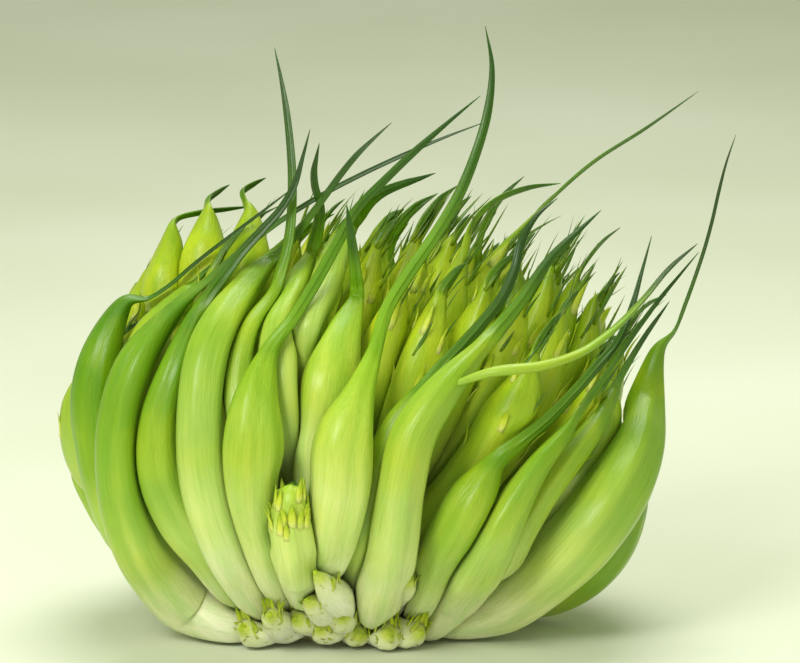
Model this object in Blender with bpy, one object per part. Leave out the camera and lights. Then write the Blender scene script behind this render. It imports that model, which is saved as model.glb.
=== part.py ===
"""A head of puntarelle: the hollow shoots of a chicory, packed round one cut crown.

Each shoot starts narrow on the crown, swells until it meets its neighbours, narrows to a neck and
runs out into a dark, narrow leaf. Lengths are in millimetres, and become metres where a mesh is
made. +Z is up, the front faces -Y, and the origin is the middle of the crown's cut face.
"""

import math
import random

import bmesh
import bpy
import numpy as np

MM = 0.001

# The head's rounded outline: |x|, |y| and |z| from its middle, over these halves and to these
# powers, add up to 1. Paths keep this far inside it, and those of the wider rear shoots further.
# Below LOWEST_FACE its depth no longer shrinks, and shoots that show below FOOT_UP lie nearer the
# mid-plane.
HEAD_MIDDLE = np.array([6.0, 0.0, 68.0])
HEAD_HALF = np.array([97.0, 75.0, 68.0])
HEAD_POWER = np.array([2.6, 2.0, 2.6])
PATH_INSET = 8.0
REAR_INSET = 12.0
LOWEST_FACE = 18.0
FOOT_UP = 32.0
FOOT_SHARE = 0.6

# The front view that the front shoots are given in looks down on the head a little. How many
# rounds a point's depth is closed in on, and how far in each
LOOK_DOWN = math.radians(12)
FRONT_FOOT = 6.2
DEPTH_ROUNDS = 40
DEPTH_STEP = 0.3

# The crown is an ellipsoid, cut flat at the bottom
CROWN_HALF = np.array([26.0, 26.0, 27.0])
CROWN_MIDDLE = np.array([0.0, 0.0, 6.0])
CROWN_TOP_LIFT = math.radians(78)
CROWN_SIDES = 20
CROWN_RINGS = 6

# Where shoots start on the crown, as the lowest and highest share of its height. A front shoot
# that starts past LOW_FROM to the side may start low. Then how close roots may crowd, how far
# apart two at one spot are nudged, and how they are pushed apart
ROOT_LIFTS = {
    "front": (0.42, 1), "low": (0.12, 1), "upper": (0.5, 1), "rear": (0.25, 1),
    "heart": (0.6, 1), "bud": (0.0, 0.3),
}
LOW_FROM = 22.0
ROOT_CROWDING = 0.98
ROOT_NUDGE = 0.01
ROOT_ROUNDS = 200
ROOT_PUSH = 0.3
ROOT_WIDTH = 8.0
ROOT_RISE = 6.0
SUNK = 3.0

# Room between neighbours, below the lowest shoots, and between a shoot and the crown
GAP = 0.9
GROUND_GAP = 0.7
ROOT_GAP = 0.4

# How much a shoot swells past its given width where there is room, how flat its section is, and
# how softly two shoots press flat on each other. The plane between two lies between these shares
# of the way from one to the other.
BODY_SWELL = {"front": 0.2, "upper": 0.35, "rear": 0.3, "heart": 0.35, "bud": 0.35, "strap": 0.0}
BODY_FLATNESS = 0.92
MEETING_SHARPNESS = 7
MEETING_SHARES = (0.3, 0.7)
LEAST_HALF = 0.45

# Leaves: their width at the neck and tip, their thickness, how long those of the shorter shoots
# are, and the way that they are blown
LEAF_WIDTH = 4.0
LEAF_TIP_WIDTH = 1.1
LEAF_TAPER = 0.8
LEAF_THICKNESS = 1.3
LEAF_LENGTHS = {"upper": (9, 26), "rear": (12, 38), "heart": (9, 20)}
SWEEP = np.array([0.80, 0.12, 0.59])
SWEEP_SPREAD = np.array([0.30, 0.35, 0.28])
RISING = np.array([0.28, 0.05, 1.0])

# Shoots that show at the front. Each has how far forward its body lies, from 0 at the head's
# mid-plane to 1 at its rounded face, its stations as (across, up, width) seen from the front, how
# far behind the origin its leaf's tip is, and the leaf's points as (across, up).
FRONT_SHOOTS = {
    "left_rim": (
        0.6,
        [(-66, 34, 11), (-76, 64, 14.5), (-77, 82, 14), (-73, 98, 11), (-67, 109, 6)],
        -8,
        [(-55, 112), (-35, 128), (-12, 146)],
    ),
    "left_long": (
        1,
        [(-33, 9, 11), (-51, 20, 19), (-67, 43, 15), (-70, 66, 12), (-68, 85, 13), (-60, 101, 11),
         (-52, 110, 6.5)],
        -2,
        [(-28, 131), (-3, 147), (26, 161), (49, 170)],
    ),
    "left_hollow": (
        0.92,
        [(-28, 13, 10), (-39, 28, 13), (-53, 48, 15), (-56, 67, 12.5), (-52, 85, 10),
         (-45, 104, 6)],
        -28,
        [(-30, 126), (-15, 144), (-8, 166)],
    ),
    "left_arched": (
        1,
        [(-24, 12, 10), (-33, 29, 14), (-41, 51, 15.5), (-43.5, 74, 14.5), (-41.5, 93, 14),
         (-34, 109, 12), (-24, 123, 7)],
        -25,
        [(-12, 136), (4, 157), (17, 169)],
    ),
    "left_inner": (
        1,
        [(-17, 14, 8), (-21, 29, 12), (-25.5, 51, 16), (-25.5, 70, 17), (-24, 84, 12),
         (-20, 96, 6)],
        -15,
        [(-12, 107), (-1, 126), (5.5, 139), (26, 160), (46, 177)],
    ),
    "left_thin": (
        0.9,
        [(-28, 67, 8), (-31, 80, 10), (-31, 93, 9.5), (-26.5, 104, 7), (-20, 112, 5)],
        -4,
        [(-15, 130), (-14, 147), (-15, 163), (-17, 178), (-20, 193)],
    ),
    "front_stub": (
        1.12,
        [(-12, 17, 9), (-13, 29, 13), (-15, 42, 14), (-15, 51, 9)],
        -66,
        [(-14, 55)],
    ),
    "front_back_left": (
        0.9,
        [(-16, 74, 11), (-18, 90, 12), (-17, 106, 12), (-12, 118, 8.5), (-9, 125, 5)],
        -25,
        [(-6, 140), (-8, 151), (-6, 162)],
    ),
    "front_finger": (
        0.82,
        [(-12, 98, 10), (-6.5, 115, 10), (-2, 127, 9), (2.5, 135, 5)],
        -10,
        [(12, 146), (31, 153)],
    ),
    "front_tall": (
        0.9,
        [(-5, 48, 14), (-3.5, 67, 18), (-2, 85, 18.5), (2, 100, 12.5), (6, 111, 5.5)],
        -44,
        [(6, 119), (4.5, 131), (3, 142)],
    ),
    "front_pale": (
        1,
        [(-6, 20, 9), (-3.5, 35, 14), (0, 56, 19), (2, 72, 17), (7, 85, 8.5), (11, 96, 5)],
        -10,
        [(15, 109), (23, 122), (34, 138), (42, 154), (48, 174), (49, 190), (47, 200)],
    ),
    "front_slim": (
        0.97,
        [(4, 16, 6.5), (8, 34, 8.5), (12.5, 54, 8.5), (17.5, 68, 8), (28, 82.5, 5)],
        -28,
        [(42, 98), (55, 115), (61, 134), (71, 144)],
    ),
    "right_arched": (
        1.02,
        [(11, 10, 10), (15, 24, 15), (19, 43, 13.5), (21.5, 61, 12), (26, 74, 11.5),
         (35, 86, 9.5), (45, 97, 6)],
        -26,
        [(58, 112), (68, 126), (84, 141)],
    ),
    "right_spear": (
        0.98,
        [(20.5, 9, 8), (27.5, 23, 12), (36, 38, 14.5), (43, 50.5, 13), (49, 60, 6.5)],
        -20,
        [(65, 72), (81, 88), (92, 102), (101, 132)],
    ),
    "right_long": (
        1,
        [(29, 7, 9.5), (37, 17, 15), (46, 31, 14.5), (54, 45, 11.5), (62, 58, 8.5), (72, 70, 5)],
        -16,
        [(84, 86), (98, 106), (116, 128)],
    ),
    "right_thin": (
        0.94,
        [(52, 24, 6), (61, 42.5, 7.5), (71, 57, 8.5), (81, 70, 7), (88, 82, 4.5)],
        -24,
        [(97, 98), (106, 112)],
    ),
    "right_broad": (
        0.98,
        [(36, 6, 10), (49, 12, 16), (65, 25, 20), (78, 39, 21), (88, 55, 19), (94, 70, 15.5),
         (98, 85, 11), (101, 96, 5.5)],
        8,
        [(106, 101), (113, 117), (119, 134), (124, 154), (128, 166)],
    ),
    "left_low": (
        0.25,
        [(-36, 16, 12), (-50, 30, 18), (-60, 46, 16), (-62, 60, 9), (-61, 68, 5)],
        -4,
        [(-58, 74)],
    ),
    "right_low": (
        0.25,
        [(40, 14, 12), (58, 26, 18), (70, 42, 17), (74, 56, 10), (77, 64, 5)],
        -4,
        [(80, 70)],
    ),
    "right_rim": (
        -0.3,
        [(48, 10, 10), (71, 15, 13), (86, 29, 17), (93, 43, 16), (97, 54, 9)],
        12,
        [(99, 60), (101, 64)],
    ),
}

# The second, strap-like leaf of the arched shoot on the right, from its shoulder, as points
# (across, up, back) seen from the front
STRAP_OF = "right_arched"
STRAP_WIDTH = 4.6
STRAP_FLATNESS = 0.7
STRAP = [(35, 86, -64), (43, 88.5, -69), (56, 90.5, -70), (70, 93, -66), (84, 99, -56),
         (99, 111, -42), (111, 124, -28), (123, 134, -14)]

# Necks of the shorter shoots behind those, as (across, up, width, forward), in the same view, and
# how far their bodies bulge out and how long they rise straight into the neck. A few at the
# upper left stand out of the head's outline, as the strap does, so less than 0 inside it
UPPER_NECKS = [
    (11.5, 126, 13, 1.0), (40, 125.5, 14, 1.0), (32, 111, 16, 1.0), (53.5, 128.5, 14, 1.0),
    (47, 114, 13, 1.0), (59, 112.5, 14, 1.0), (78, 116, 13, 1.0), (71, 106, 14, 1.0),
    (84, 112.5, 13, 1.0), (67.5, 121.5, 13, 1.0), (85, 89.5, 13, 1.0), (24.5, 129.5, 13, 1.0),
    (20, 115, 14, 1.0), (62, 92, 16, 0.95), (92, 97, 14, 0.9), (-56, 132, 17, -0.3),
    (-44, 138, 16, -0.45), (-31, 141, 15, -0.45), (-44, 117, 12, 0.9), (-18, 129, 14, 0.9),
    (-31, 128, 14, 0.8),
]
UPPER_BULGE = 0.3
OWN_INSETS = {"upper_16": -6.0, "upper_17": -6.0, "upper_18": -2.0, "strap": -30.0}
NECK_RUN = 0.42

# Leaves of some of those shoots, by their place in that list, given like a front shoot's
UPPER_LEAVES = {
    1: (5, [(45, 139), (57, 147), (72, 150)]),
    3: (18, [(65, 141), (84, 158), (103, 170), (117, 180)]),
    15: (8, [(-56, 138), (-47, 142), (-30, 144)]),
    16: (14, [(-44, 144), (-37, 149)]),
    17: (12, [(-32, 147), (-24, 152)]),
}

# The rear is filled by long shoots whose necks take turns between three heights
REAR_COUNT = 17
REAR_FROM = math.radians(-8)
REAR_TO = math.radians(196)
REAR_NECK_UP = (88.0, 114.0, 68.0)
REAR_WIDTH = 24.0
REAR_BULGE = 0.75
REAR_LEAN_IN = 0.25

# The top is filled on a golden-angle spiral, wherever there is room
GOLDEN_ANGLE = math.pi * (3 - math.sqrt(5))
HEART_TRIES = 260
HEART_MOST = 34
HEART_ROOM = 15.0
HEART_WIDTH = 17.5
HEART_SPREAD = math.radians(72)

# A shorter, rear or heart shoot's width along its body, as shares of its length and its width
BODY_RUN = [0, 0.15, 0.4, 0.85, 0.95, 1]
SHORT_WIDTHS = [0.3, 0.5, 0.85, 1.0, 0.75, 0.35]
REAR_WIDTHS = [0.35, 0.6, 0.92, 0.95, 0.6, 0.3]

# Tips of the basal buds as (across, up, width) from the front. They stand BUD_REACH in front of
# the middle, less by BUD_BEND toward the sides, and lean out as they rise. A ring of them follows
# round the back. Each bends at a knee outside the crown, and its widths are shares of its own.
FRONT_BUDS = [
    (-22, 33.5, 8), (-5, 31, 8.5), (-14, 21.5, 8.5), (-22.5, 17.5, 8), (-37, 19, 8), (-32, 10, 9),
    (-6.5, 6, 8), (2, 12, 9), (7.5, 4, 8), (21, 17.5, 12), (-14, 9.5, 8.5), (14.5, 8, 9),
    (-23, 7, 9), (28.5, 8, 9),
]
BUD_REACH = 36.0
BUD_BEND = 0.35
BUD_LEAN = 1.15
BUD_CLEAR = 1.0
REAR_BUDS = 9
REAR_BUD_FROM = math.radians(8)
REAR_BUD_TO = math.radians(172)
REAR_BUD_WIDTH = 10.0
REAR_BUD_REACH = 37.0
REAR_BUD_UP = (14.0, 7.0)
BUD_KNEE = 4.0
BUD_HIGH = 0.65
BUD_WIDTHS = (0.7, 0.85, 1.0, 0.95, 0.12)

# How many rings each kind has along its body and leaf, and how many sides
RINGS = {"front": (9, 8), "upper": (7, 4), "rear": (8, 4), "heart": (6, 3), "bud": (6, 0),
         "strap": (8, 0)}
SIDES = {"front": 8, "upper": 8, "rear": 8, "heart": 6, "bud": 6, "strap": 4}

# How the paths are bent clear of each other: how many rounds, how far bodies may press in and how
# far leaves stay off, how freely a front shoot's body moves across, back and up, how strongly each
# round pushes and eases, and how often and how far round it looks for neighbours
SETTLE_ROUNDS = 180
SETTLE_SAMPLES = 3
PRESSED = 0.86
LEAF_ROOM = 1.5
LEAF_STIFFNESS = 0.85
FRONT_FREEDOM = (0.3, 1.0, 0.3)
FOOT_FREEDOM = 0.6
PUSH = 0.72
EASE = 0.25
LAST_EASE = 0.05
EASED_SHARE = 0.8
LOOK_EVERY = 6
LOOK_ROOM = 8.0
GROUND_SHARE = 0.8

# How many places along each span are kept clear of the neighbours
SECTION_SAMPLES = 6
NEAR = 14.0
FAR = 1000.0
FACING = 0.02

COLOURS = {
    "crown": (0.80, 0.80, 0.52),
    "front": (0.50, 0.72, 0.16),
    "upper": (0.42, 0.66, 0.10),
    "rear": (0.44, 0.68, 0.14),
}
ROUGHNESS = 0.38
SHARP_FROM = math.radians(60)


def unit(vector):
    """The vector, or each row of vectors, at length 1."""
    return vector / np.maximum(np.linalg.norm(vector, axis=-1, keepdims=True), 1e-9)


def smooth_curve(stations, steps):
    """A curve through the stations: on each span a cubic that leaves each station along the line
    between its two neighbours. Columns past the third, such as width, go along with it."""
    points = np.asarray(stations, float)
    ends = np.vstack([2 * points[0] - points[1], points, 2 * points[-1] - points[-2]])
    t = np.linspace(0, 1, steps, endpoint=False)[:, None]
    spans = []
    for a, b, c, d in zip(ends, ends[1:], ends[2:], ends[3:]):
        bend = (2 * a - 5 * b + 4 * c - d) * t**2 + (3 * b - a - 3 * c + d) * t**3
        spans.append(0.5 * (2 * b + (c - a) * t + bend))
    return np.vstack(spans + [points[-1:]])


def evenly(curve, count):
    """So many points at even steps along a curve."""
    steps = np.linalg.norm(np.diff(curve[:, :3], axis=0), axis=1)
    run = np.concatenate([[0], np.cumsum(steps)])
    wanted = np.linspace(0, run[-1], count)
    return np.column_stack([np.interp(wanted, run, column) for column in curve.T])


def denser(values, samples):
    """Values with more rows put in, at even shares of each span."""
    count = len(values)
    at = np.linspace(0, count - 1, (count - 1) * samples + 1)
    low = np.minimum(at.astype(int), count - 2)
    share = (at - low)[:, None]
    return values[low] * (1 - share) + values[low + 1] * share


def height_seen(up, back):
    """The true height of a point that the front view shows at up and that lies at depth back."""
    return (up - FRONT_FOOT - back * math.sin(LOOK_DOWN)) / math.cos(LOOK_DOWN)


def face_depth(across, height):
    """How far in front of the mid-plane a path on the head's rounded face lies there."""
    half = HEAD_HALF - PATH_INSET
    x = abs(across - HEAD_MIDDLE[0]) / half[0]
    z = abs(max(height, LOWEST_FACE) - HEAD_MIDDLE[2]) / half[2]
    left = max(1 - x ** HEAD_POWER[0] - z ** HEAD_POWER[2], 0)
    return half[1] * left ** (1 / HEAD_POWER[1])


def on_face(across, up, forward):
    """The point that the front view shows at (across, up), so far forward of the mid-plane. Its
    depth depends on its height and its height on its depth, so both are closed in on in turn."""
    forward *= FOOT_SHARE + (1 - FOOT_SHARE) * min(up / FOOT_UP, 1)
    back = 0.0
    for _ in range(DEPTH_ROUNDS):
        wanted = -forward * face_depth(across, height_seen(up, back))
        back += DEPTH_STEP * (wanted - back)
    return np.array([across, back, height_seen(up, back)])


def kept_inside(points, inset=PATH_INSET):
    """The points, with those less than inset inside the outline brought in toward its middle."""
    away = points - HEAD_MIDDLE
    past = (np.abs(away / (HEAD_HALF - inset)) ** HEAD_POWER).sum(axis=-1, keepdims=True)
    return HEAD_MIDDLE + away / np.sqrt(np.maximum(past, 1))


def spread_roots(toward, lifts):
    """Where each shoot starts on the crown, as spots on a unit ball that the crown's halves
    stretch: first straight toward where the shoot goes, then pushed apart until none crowds
    another, each kept between its two lifts."""
    way = unit(toward - CROWN_MIDDLE)
    turn = np.arange(len(way)) * GOLDEN_ANGLE
    way[:, :2] += ROOT_NUDGE * np.column_stack([np.cos(turn), np.sin(turn)])
    spots = unit(way)
    room = math.sqrt(2 * math.pi / len(spots)) * ROOT_CROWDING
    for _ in range(ROOT_ROUNDS):
        between = spots[:, None] - spots[None]
        far = np.maximum(np.linalg.norm(between, axis=2), 0.001) + np.eye(len(spots)) * FAR
        push = np.maximum(room - far, 0) / far
        spots = unit(spots + ROOT_PUSH * (between * push[:, :, None]).sum(axis=1))
        spots[:, 2] = np.clip(spots[:, 2], lifts[:, 0], lifts[:, 1])
        spots[:, :2] = unit(spots[:, :2]) * np.sqrt(1 - spots[:, 2:] ** 2)
    return spots


def shoot_from(name, kind, body, leaf, way):
    """A shoot as points along its path with half-widths across and through it. It is worked out
    from stations of (x, y, z, width) along its body and points along its leaf."""
    steps = 10
    shrink = np.linspace(1, 0, len(leaf) + 1)[1:] ** LEAF_TAPER
    widths = LEAF_TIP_WIDTH + (LEAF_WIDTH - LEAF_TIP_WIDTH) * shrink
    curve = smooth_curve([*body, *((*point, width) for point, width in zip(leaf, widths))], steps)
    split = steps * (len(body) - 1)
    body_rings, leaf_rings = RINGS[kind]
    path = evenly(curve[: split + 1], body_rings)
    through = path[:, 3] * BODY_FLATNESS
    if leaf_rings:
        path = np.vstack([path, evenly(curve[split:], leaf_rings + 1)[1:]])
        through = np.append(through, np.full(leaf_rings, LEAF_THICKNESS))
    if kind == "strap":
        through = np.maximum(path[:, 3] * STRAP_FLATNESS, LEAF_THICKNESS)
    half = np.maximum(np.column_stack([path[:, 3], through]) / 2, LEAST_HALF)
    return {"name": name, "kind": kind, "node": "shoot_" + name, "path": path[:, :3], "half": half,
            "neck": body_rings - 1, "way": way}


def leaf_points(neck, tip_back, leaf):
    """A leaf's points as true positions, from the neck's depth to the tip's in even steps."""
    backs = np.linspace(neck[1], tip_back, len(leaf) + 1)[1:]
    return [(across, back, height_seen(up, back)) for (across, up), back in zip(leaf, backs)]


def blown_leaf(neck, rising, kind, chance):
    """Three points of a leaf that leaves the neck as it rises, and bends over as it is blown."""
    length = chance.uniform(*LEAF_LENGTHS[kind])
    sweep = unit(SWEEP + SWEEP_SPREAD * [chance.uniform(-1, 1) for _ in range(3)])
    knee = rising * length / 2
    tip = knee + sweep * length / 2
    return [neck + knee * 2 * f * (1 - f) + tip * f * f for f in (0.35, 0.7, 1.0)]


def inset_of(kind, name):
    """How far inside the head's outline a shoot's path stays."""
    return OWN_INSETS.get(name, REAR_INSET if kind == "rear" else PATH_INSET)


def free_body(neck, width, root, way, bulge, rising, widths, inset):
    """Stations of a body that leaves its root along way, bulges out, and rises into its neck: a
    curve drawn by the root, a point along way, a point below the neck, and the neck."""
    f = np.linspace(0, 1, 7)[:, None]
    reach = np.linalg.norm(neck - root)
    low = root + way * bulge * reach
    high = neck - rising * NECK_RUN * reach
    line = root * (1 - f)**3 + low * 3 * f * (1 - f)**2 + high * 3 * f**2 * (1 - f) + neck * f**3
    shares = np.interp(f[:, 0], BODY_RUN, widths)
    return [(*point, width * share) for point, share in zip(kept_inside(line, inset), shares)]


def rear_necks():
    """Necks of the rear shoots, round the back of the outline at their heights."""
    half = HEAD_HALF - REAR_INSET
    necks = []
    for k in range(REAR_COUNT):
        turn = REAR_FROM + (REAR_TO - REAR_FROM) * k / (REAR_COUNT - 1)
        height = REAR_NECK_UP[k % len(REAR_NECK_UP)]
        reach = math.sqrt(1 - (abs(height - HEAD_MIDDLE[2]) / half[2]) ** HEAD_POWER[2])
        spot = half * reach * [math.cos(turn), math.sin(turn), 0]
        necks.append(np.array([HEAD_MIDDLE[0] + spot[0], spot[1], height]))
    return necks


def heart_necks(taken):
    """Necks on a golden-angle spiral over the top, each kept if it has room among those taken."""
    necks = []
    for k in range(HEART_TRIES):
        fall = HEART_SPREAD * math.sqrt(k / HEART_TRIES)
        turn = k * GOLDEN_ANGLE
        level = math.sin(fall)
        way = np.array([level * math.cos(turn), level * math.sin(turn), math.cos(fall)])
        spot = kept_inside(HEAD_MIDDLE + way * HEAD_HALF)
        if len(necks) < HEART_MOST and all(
            np.linalg.norm(spot - other) > HEART_ROOM for other in taken + necks
        ):
            necks.append(spot)
    return necks


def bud_tips():
    """Tips of the basal buds, with their widths."""
    tips = []
    for across, up, width in FRONT_BUDS:
        back = -math.sqrt(BUD_REACH**2 - BUD_BEND * across**2) - BUD_LEAN * up
        height = max(height_seen(up, back), width / 2 + BUD_CLEAR)
        tips.append((np.array([across, back, height]), width))
    for k in range(REAR_BUDS):
        turn = REAR_BUD_FROM + (REAR_BUD_TO - REAR_BUD_FROM) * k / (REAR_BUDS - 1)
        reach = np.array([math.cos(turn), math.sin(turn)]) * REAR_BUD_REACH
        tips.append((np.array([*reach, REAR_BUD_UP[k % 2]]), REAR_BUD_WIDTH))
    return tips


def plans():
    """Every shoot and bud to grow, as its kind, its name, the point that it goes toward, its width
    or its body's stations, and its leaf's points or None."""
    found = []
    for name, (forward, stations, tip_back, leaf) in FRONT_SHOOTS.items():
        body = [(*on_face(across, up, forward), width) for across, up, width in stations]
        found.append(("front", name, body[0][:3], body, leaf_points(body[-1], tip_back, leaf)))
    taken = [np.array(station[:3]) for plan in found for station in plan[3][2:]]
    for k, (across, up, width, forward) in enumerate(UPPER_NECKS):
        neck = on_face(across, up, forward)
        taken.append(neck)
        leaf = leaf_points(neck, *UPPER_LEAVES[k]) if k in UPPER_LEAVES else None
        found.append(("upper", f"upper_{k + 1:02d}", neck, width, leaf))
    for k, neck in enumerate(rear_necks()):
        taken.append(neck)
        found.append(("rear", f"rear_{k + 1:02d}", neck, REAR_WIDTH, None))
    for k, neck in enumerate(heart_necks(taken)):
        found.append(("heart", f"heart_{k + 1:02d}", neck, HEART_WIDTH, None))
    for k, (tip, width) in enumerate(bud_tips()):
        found.append(("bud", f"bud_{k + 1:02d}", tip, width, None))
    return found


def grown(plan, spot, chance):
    """The shoot or bud of one plan, from its spot on the crown."""
    kind, name, toward, width, leaf = plan
    way = unit(spot / CROWN_HALF)
    root = CROWN_MIDDLE + CROWN_HALF * spot
    start = root + way * ROOT_GAP
    if kind == "front":
        foot = [(*start, ROOT_WIDTH), (*(start + way * ROOT_RISE), ROOT_WIDTH)]
        return shoot_from(name, kind, foot + width, leaf, way)
    if kind == "bud":
        knee = root + way * BUD_KNEE
        line = (root - way * SUNK, root, knee, knee + (toward - knee) * BUD_HIGH, toward)
        body = [(*point, width * share) for point, share in zip(line, BUD_WIDTHS)]
        return shoot_from(name, kind, body, [], way)
    if kind == "heart":
        start = root - way * SUNK
    rising = unit(RISING)
    if leaf:
        rising = unit(rising + unit(np.subtract(leaf[0], toward)))
    bulge, widths = UPPER_BULGE, SHORT_WIDTHS
    if kind == "rear":
        rising = unit(RISING - REAR_LEAN_IN * unit((toward - HEAD_MIDDLE) * [1, 1, 0]))
        bulge, widths = REAR_BULGE, REAR_WIDTHS
    body = free_body(toward, width, start, way, bulge, rising, widths, inset_of(kind, name))
    return shoot_from(name, kind, body, leaf or blown_leaf(toward, rising, kind, chance), way)


def all_shoots():
    """Every shoot and bud of the head, before they are bent clear of each other."""
    chance = random.Random(11)
    found = plans()
    low = [plan[0] == "front" and abs(plan[2][0]) > LOW_FROM for plan in found]
    lifts = [ROOT_LIFTS["low" if sunk else plan[0]] for plan, sunk in zip(found, low)]
    spots = spread_roots(np.array([plan[2] for plan in found]), np.array(lifts, float))
    shoots = [grown(plan, spot, chance) for plan, spot in zip(found, spots)]
    for shoot in shoots:
        if shoot["kind"] in ("heart", "bud"):
            shoot["node"] = "crown"
    points = [(x, y, height_seen(z, y)) for x, z, y in STRAP]
    widths = np.linspace(STRAP_WIDTH, LEAF_TIP_WIDTH, len(points))
    stations = [(*point, width) for point, width in zip(points, widths)]
    strap = shoot_from("strap", "strap", stations, [], unit(np.subtract(points[1], points[0])))
    strap["node"] = "shoot_" + STRAP_OF
    return shoots + [strap]


def settle(shoots):
    """Bends the paths clear of each other. Where samples of two paths come closer than their
    half-widths allow, the points beside them are pushed apart, and each path's shifts are then
    eased along it. A front shoot's body moves mostly in depth, and a root not at all."""
    lengths = [len(shoot["path"]) for shoot in shoots]
    owner = np.repeat(np.arange(len(shoots)), lengths)
    place = np.concatenate([np.arange(length) for length in lengths])
    kind = np.array([shoot["kind"] for shoot in shoots])[owner]
    in_leaf = place > np.array([shoot["neck"] for shoot in shoots])[owner]
    first = place == 0
    last = np.roll(first, -1)
    inner = np.flatnonzero(~first & ~last)
    tips = np.flatnonzero(last)

    freedom = np.ones((len(owner), 3))
    freedom[(kind == "front") & ~in_leaf] = FRONT_FREEDOM
    freedom[place == 1] *= FOOT_FREEDOM
    freedom[first] = 0
    held_in = ~in_leaf & ~first & ~np.isin(kind, ("bud", "front"))
    inset = np.array([inset_of(shoot["kind"], shoot["name"]) for shoot in shoots])
    inset = inset[owner][held_in, None]

    half = np.vstack([shoot["half"] for shoot in shoots])
    radius = np.where(in_leaf, half[:, 0] * LEAF_STIFFNESS, np.sqrt(half.prod(axis=1)))
    low = np.append(np.repeat(np.flatnonzero(~last), SETTLE_SAMPLES), tips - 1)
    share = np.append(np.tile(np.arange(SETTLE_SAMPLES) / SETTLE_SAMPLES, (~last).sum()),
                      np.ones(len(tips)))
    sample_radius = radius[low] * (1 - share) + radius[low + 1] * share
    sample_leaf = in_leaf[low] | (in_leaf[low + 1] & (share > 0.5))
    weight = np.bincount(low, 1 - share, len(owner)) + np.bincount(low + 1, share, len(owner))
    _, node = np.unique([shoot["node"] for shoot in shoots], return_inverse=True)
    node = node[owner[low]]

    start = np.vstack([shoot["path"] for shoot in shoots])
    points = start.copy()
    for turn in range(SETTLE_ROUNDS):
        samples = points[low] * (1 - share[:, None]) + points[low + 1] * share[:, None]
        if turn % LOOK_EVERY == 0:
            square = (samples**2).sum(axis=1)
            apart = square[:, None] + square[None] - 2 * samples @ samples.T
            reach = sample_radius[:, None] + sample_radius[None] + LOOK_ROOM
            a, b = np.nonzero((apart < reach**2) & (node[:, None] != node[None]))
            leafy = sample_leaf[a] | sample_leaf[b]
            room = sample_radius[a] + sample_radius[b]
            room = np.where(leafy, room + LEAF_ROOM, room * PRESSED)
        between = samples[a] - samples[b]
        distance = np.linalg.norm(between, axis=1) + 1e-6
        push = np.maximum(room - distance, 0) / distance
        crowd = np.maximum(np.bincount(a[push > 0], minlength=len(low)), 1)
        moves = np.column_stack([
            np.bincount(a, between[:, axis] * push, len(low)) for axis in range(3)
        ]) / np.sqrt(crowd)[:, None]
        step = np.column_stack([
            np.bincount(low, moves[:, axis] * (1 - share), len(owner))
            + np.bincount(low + 1, moves[:, axis] * share, len(owner)) for axis in range(3)
        ]) / np.maximum(weight, 1)[:, None]
        shift = points + freedom * step * PUSH - start
        ease = EASE if turn < SETTLE_ROUNDS * EASED_SHARE else LAST_EASE
        eased = shift.copy()
        eased[inner] += ease * ((shift[inner - 1] + shift[inner + 1]) / 2 - shift[inner])
        eased[tips] += ease * (shift[tips - 1] - shift[tips])
        points = start + np.where(freedom > 0, eased, 0)
        points[held_in] = kept_inside(points[held_in], inset)
        lowest = np.where(first, -FAR, radius * GROUND_SHARE + GROUND_GAP)
        points[:, 2] = np.maximum(points[:, 2], lowest)
    for k, shoot in enumerate(shoots):
        shoot["path"] = points[owner == k]


def carried_frame(path, first_way):
    """Along, across and out at each point of a path. Across starts level and is carried up the
    path with no twist, and out is square to both."""
    ways = np.gradient(path, axis=0)
    ways[0] = first_way
    ways = unit(ways)
    level = np.cross([0, 0, 1], ways[0])
    if np.linalg.norm(level) < 0.2:
        level = np.array([1.0, 0.0, 0.0])
    across = [unit(level - ways[0] * (level @ ways[0]))]
    for way in ways[1:]:
        across.append(unit(across[-1] - way * (across[-1] @ way)))
    across = np.array(across)
    return across, np.cross(ways, across)


def room_round(middle, ray, radius, others, other_radius, on_crown):
    """How far each ray may reach before it meets the plane between its shoot and a neighbour, the
    ground, or the plane that touches the crown below it."""
    limit = np.full(ray.shape[:2], FAR)
    for k in range(len(middle)):
        between = others - middle[k]
        distance = np.linalg.norm(between, axis=1)
        near = distance < radius[k] + other_radius + NEAR
        between, distance = between[near], distance[near]
        share = 0.5 + (radius[k] ** 2 - other_radius[near] ** 2) / (2 * distance**2)
        plane = distance * np.clip(share, *MEETING_SHARES) - GAP / 2
        toward = ray[k] @ (between / distance[:, None]).T
        reach = np.where(toward > FACING, plane / np.maximum(toward, FACING), FAR)
        limit[k] = np.minimum(limit[k], reach.min(axis=1, initial=FAR))
    down = -ray[:, :, 2]
    ground = (middle[:, 2:] - GROUND_GAP) / np.maximum(down, FACING)
    limit = np.where(down > FACING, np.minimum(limit, ground), limit)
    if not on_crown:
        spot = unit((middle - CROWN_MIDDLE) / CROWN_HALF)
        square = unit(spot / CROWN_HALF)
        clear = ((middle - CROWN_MIDDLE - CROWN_HALF * spot) * square).sum(axis=1)
        back = -(ray * square[:, None]).sum(axis=2)
        dome = (clear[:, None] - ROOT_GAP * 0.8) / np.maximum(back, FACING)
        limit = np.where(back > FACING, np.minimum(limit, dome), limit)
    return np.maximum(limit, LEAST_HALF * 0.8)


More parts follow.
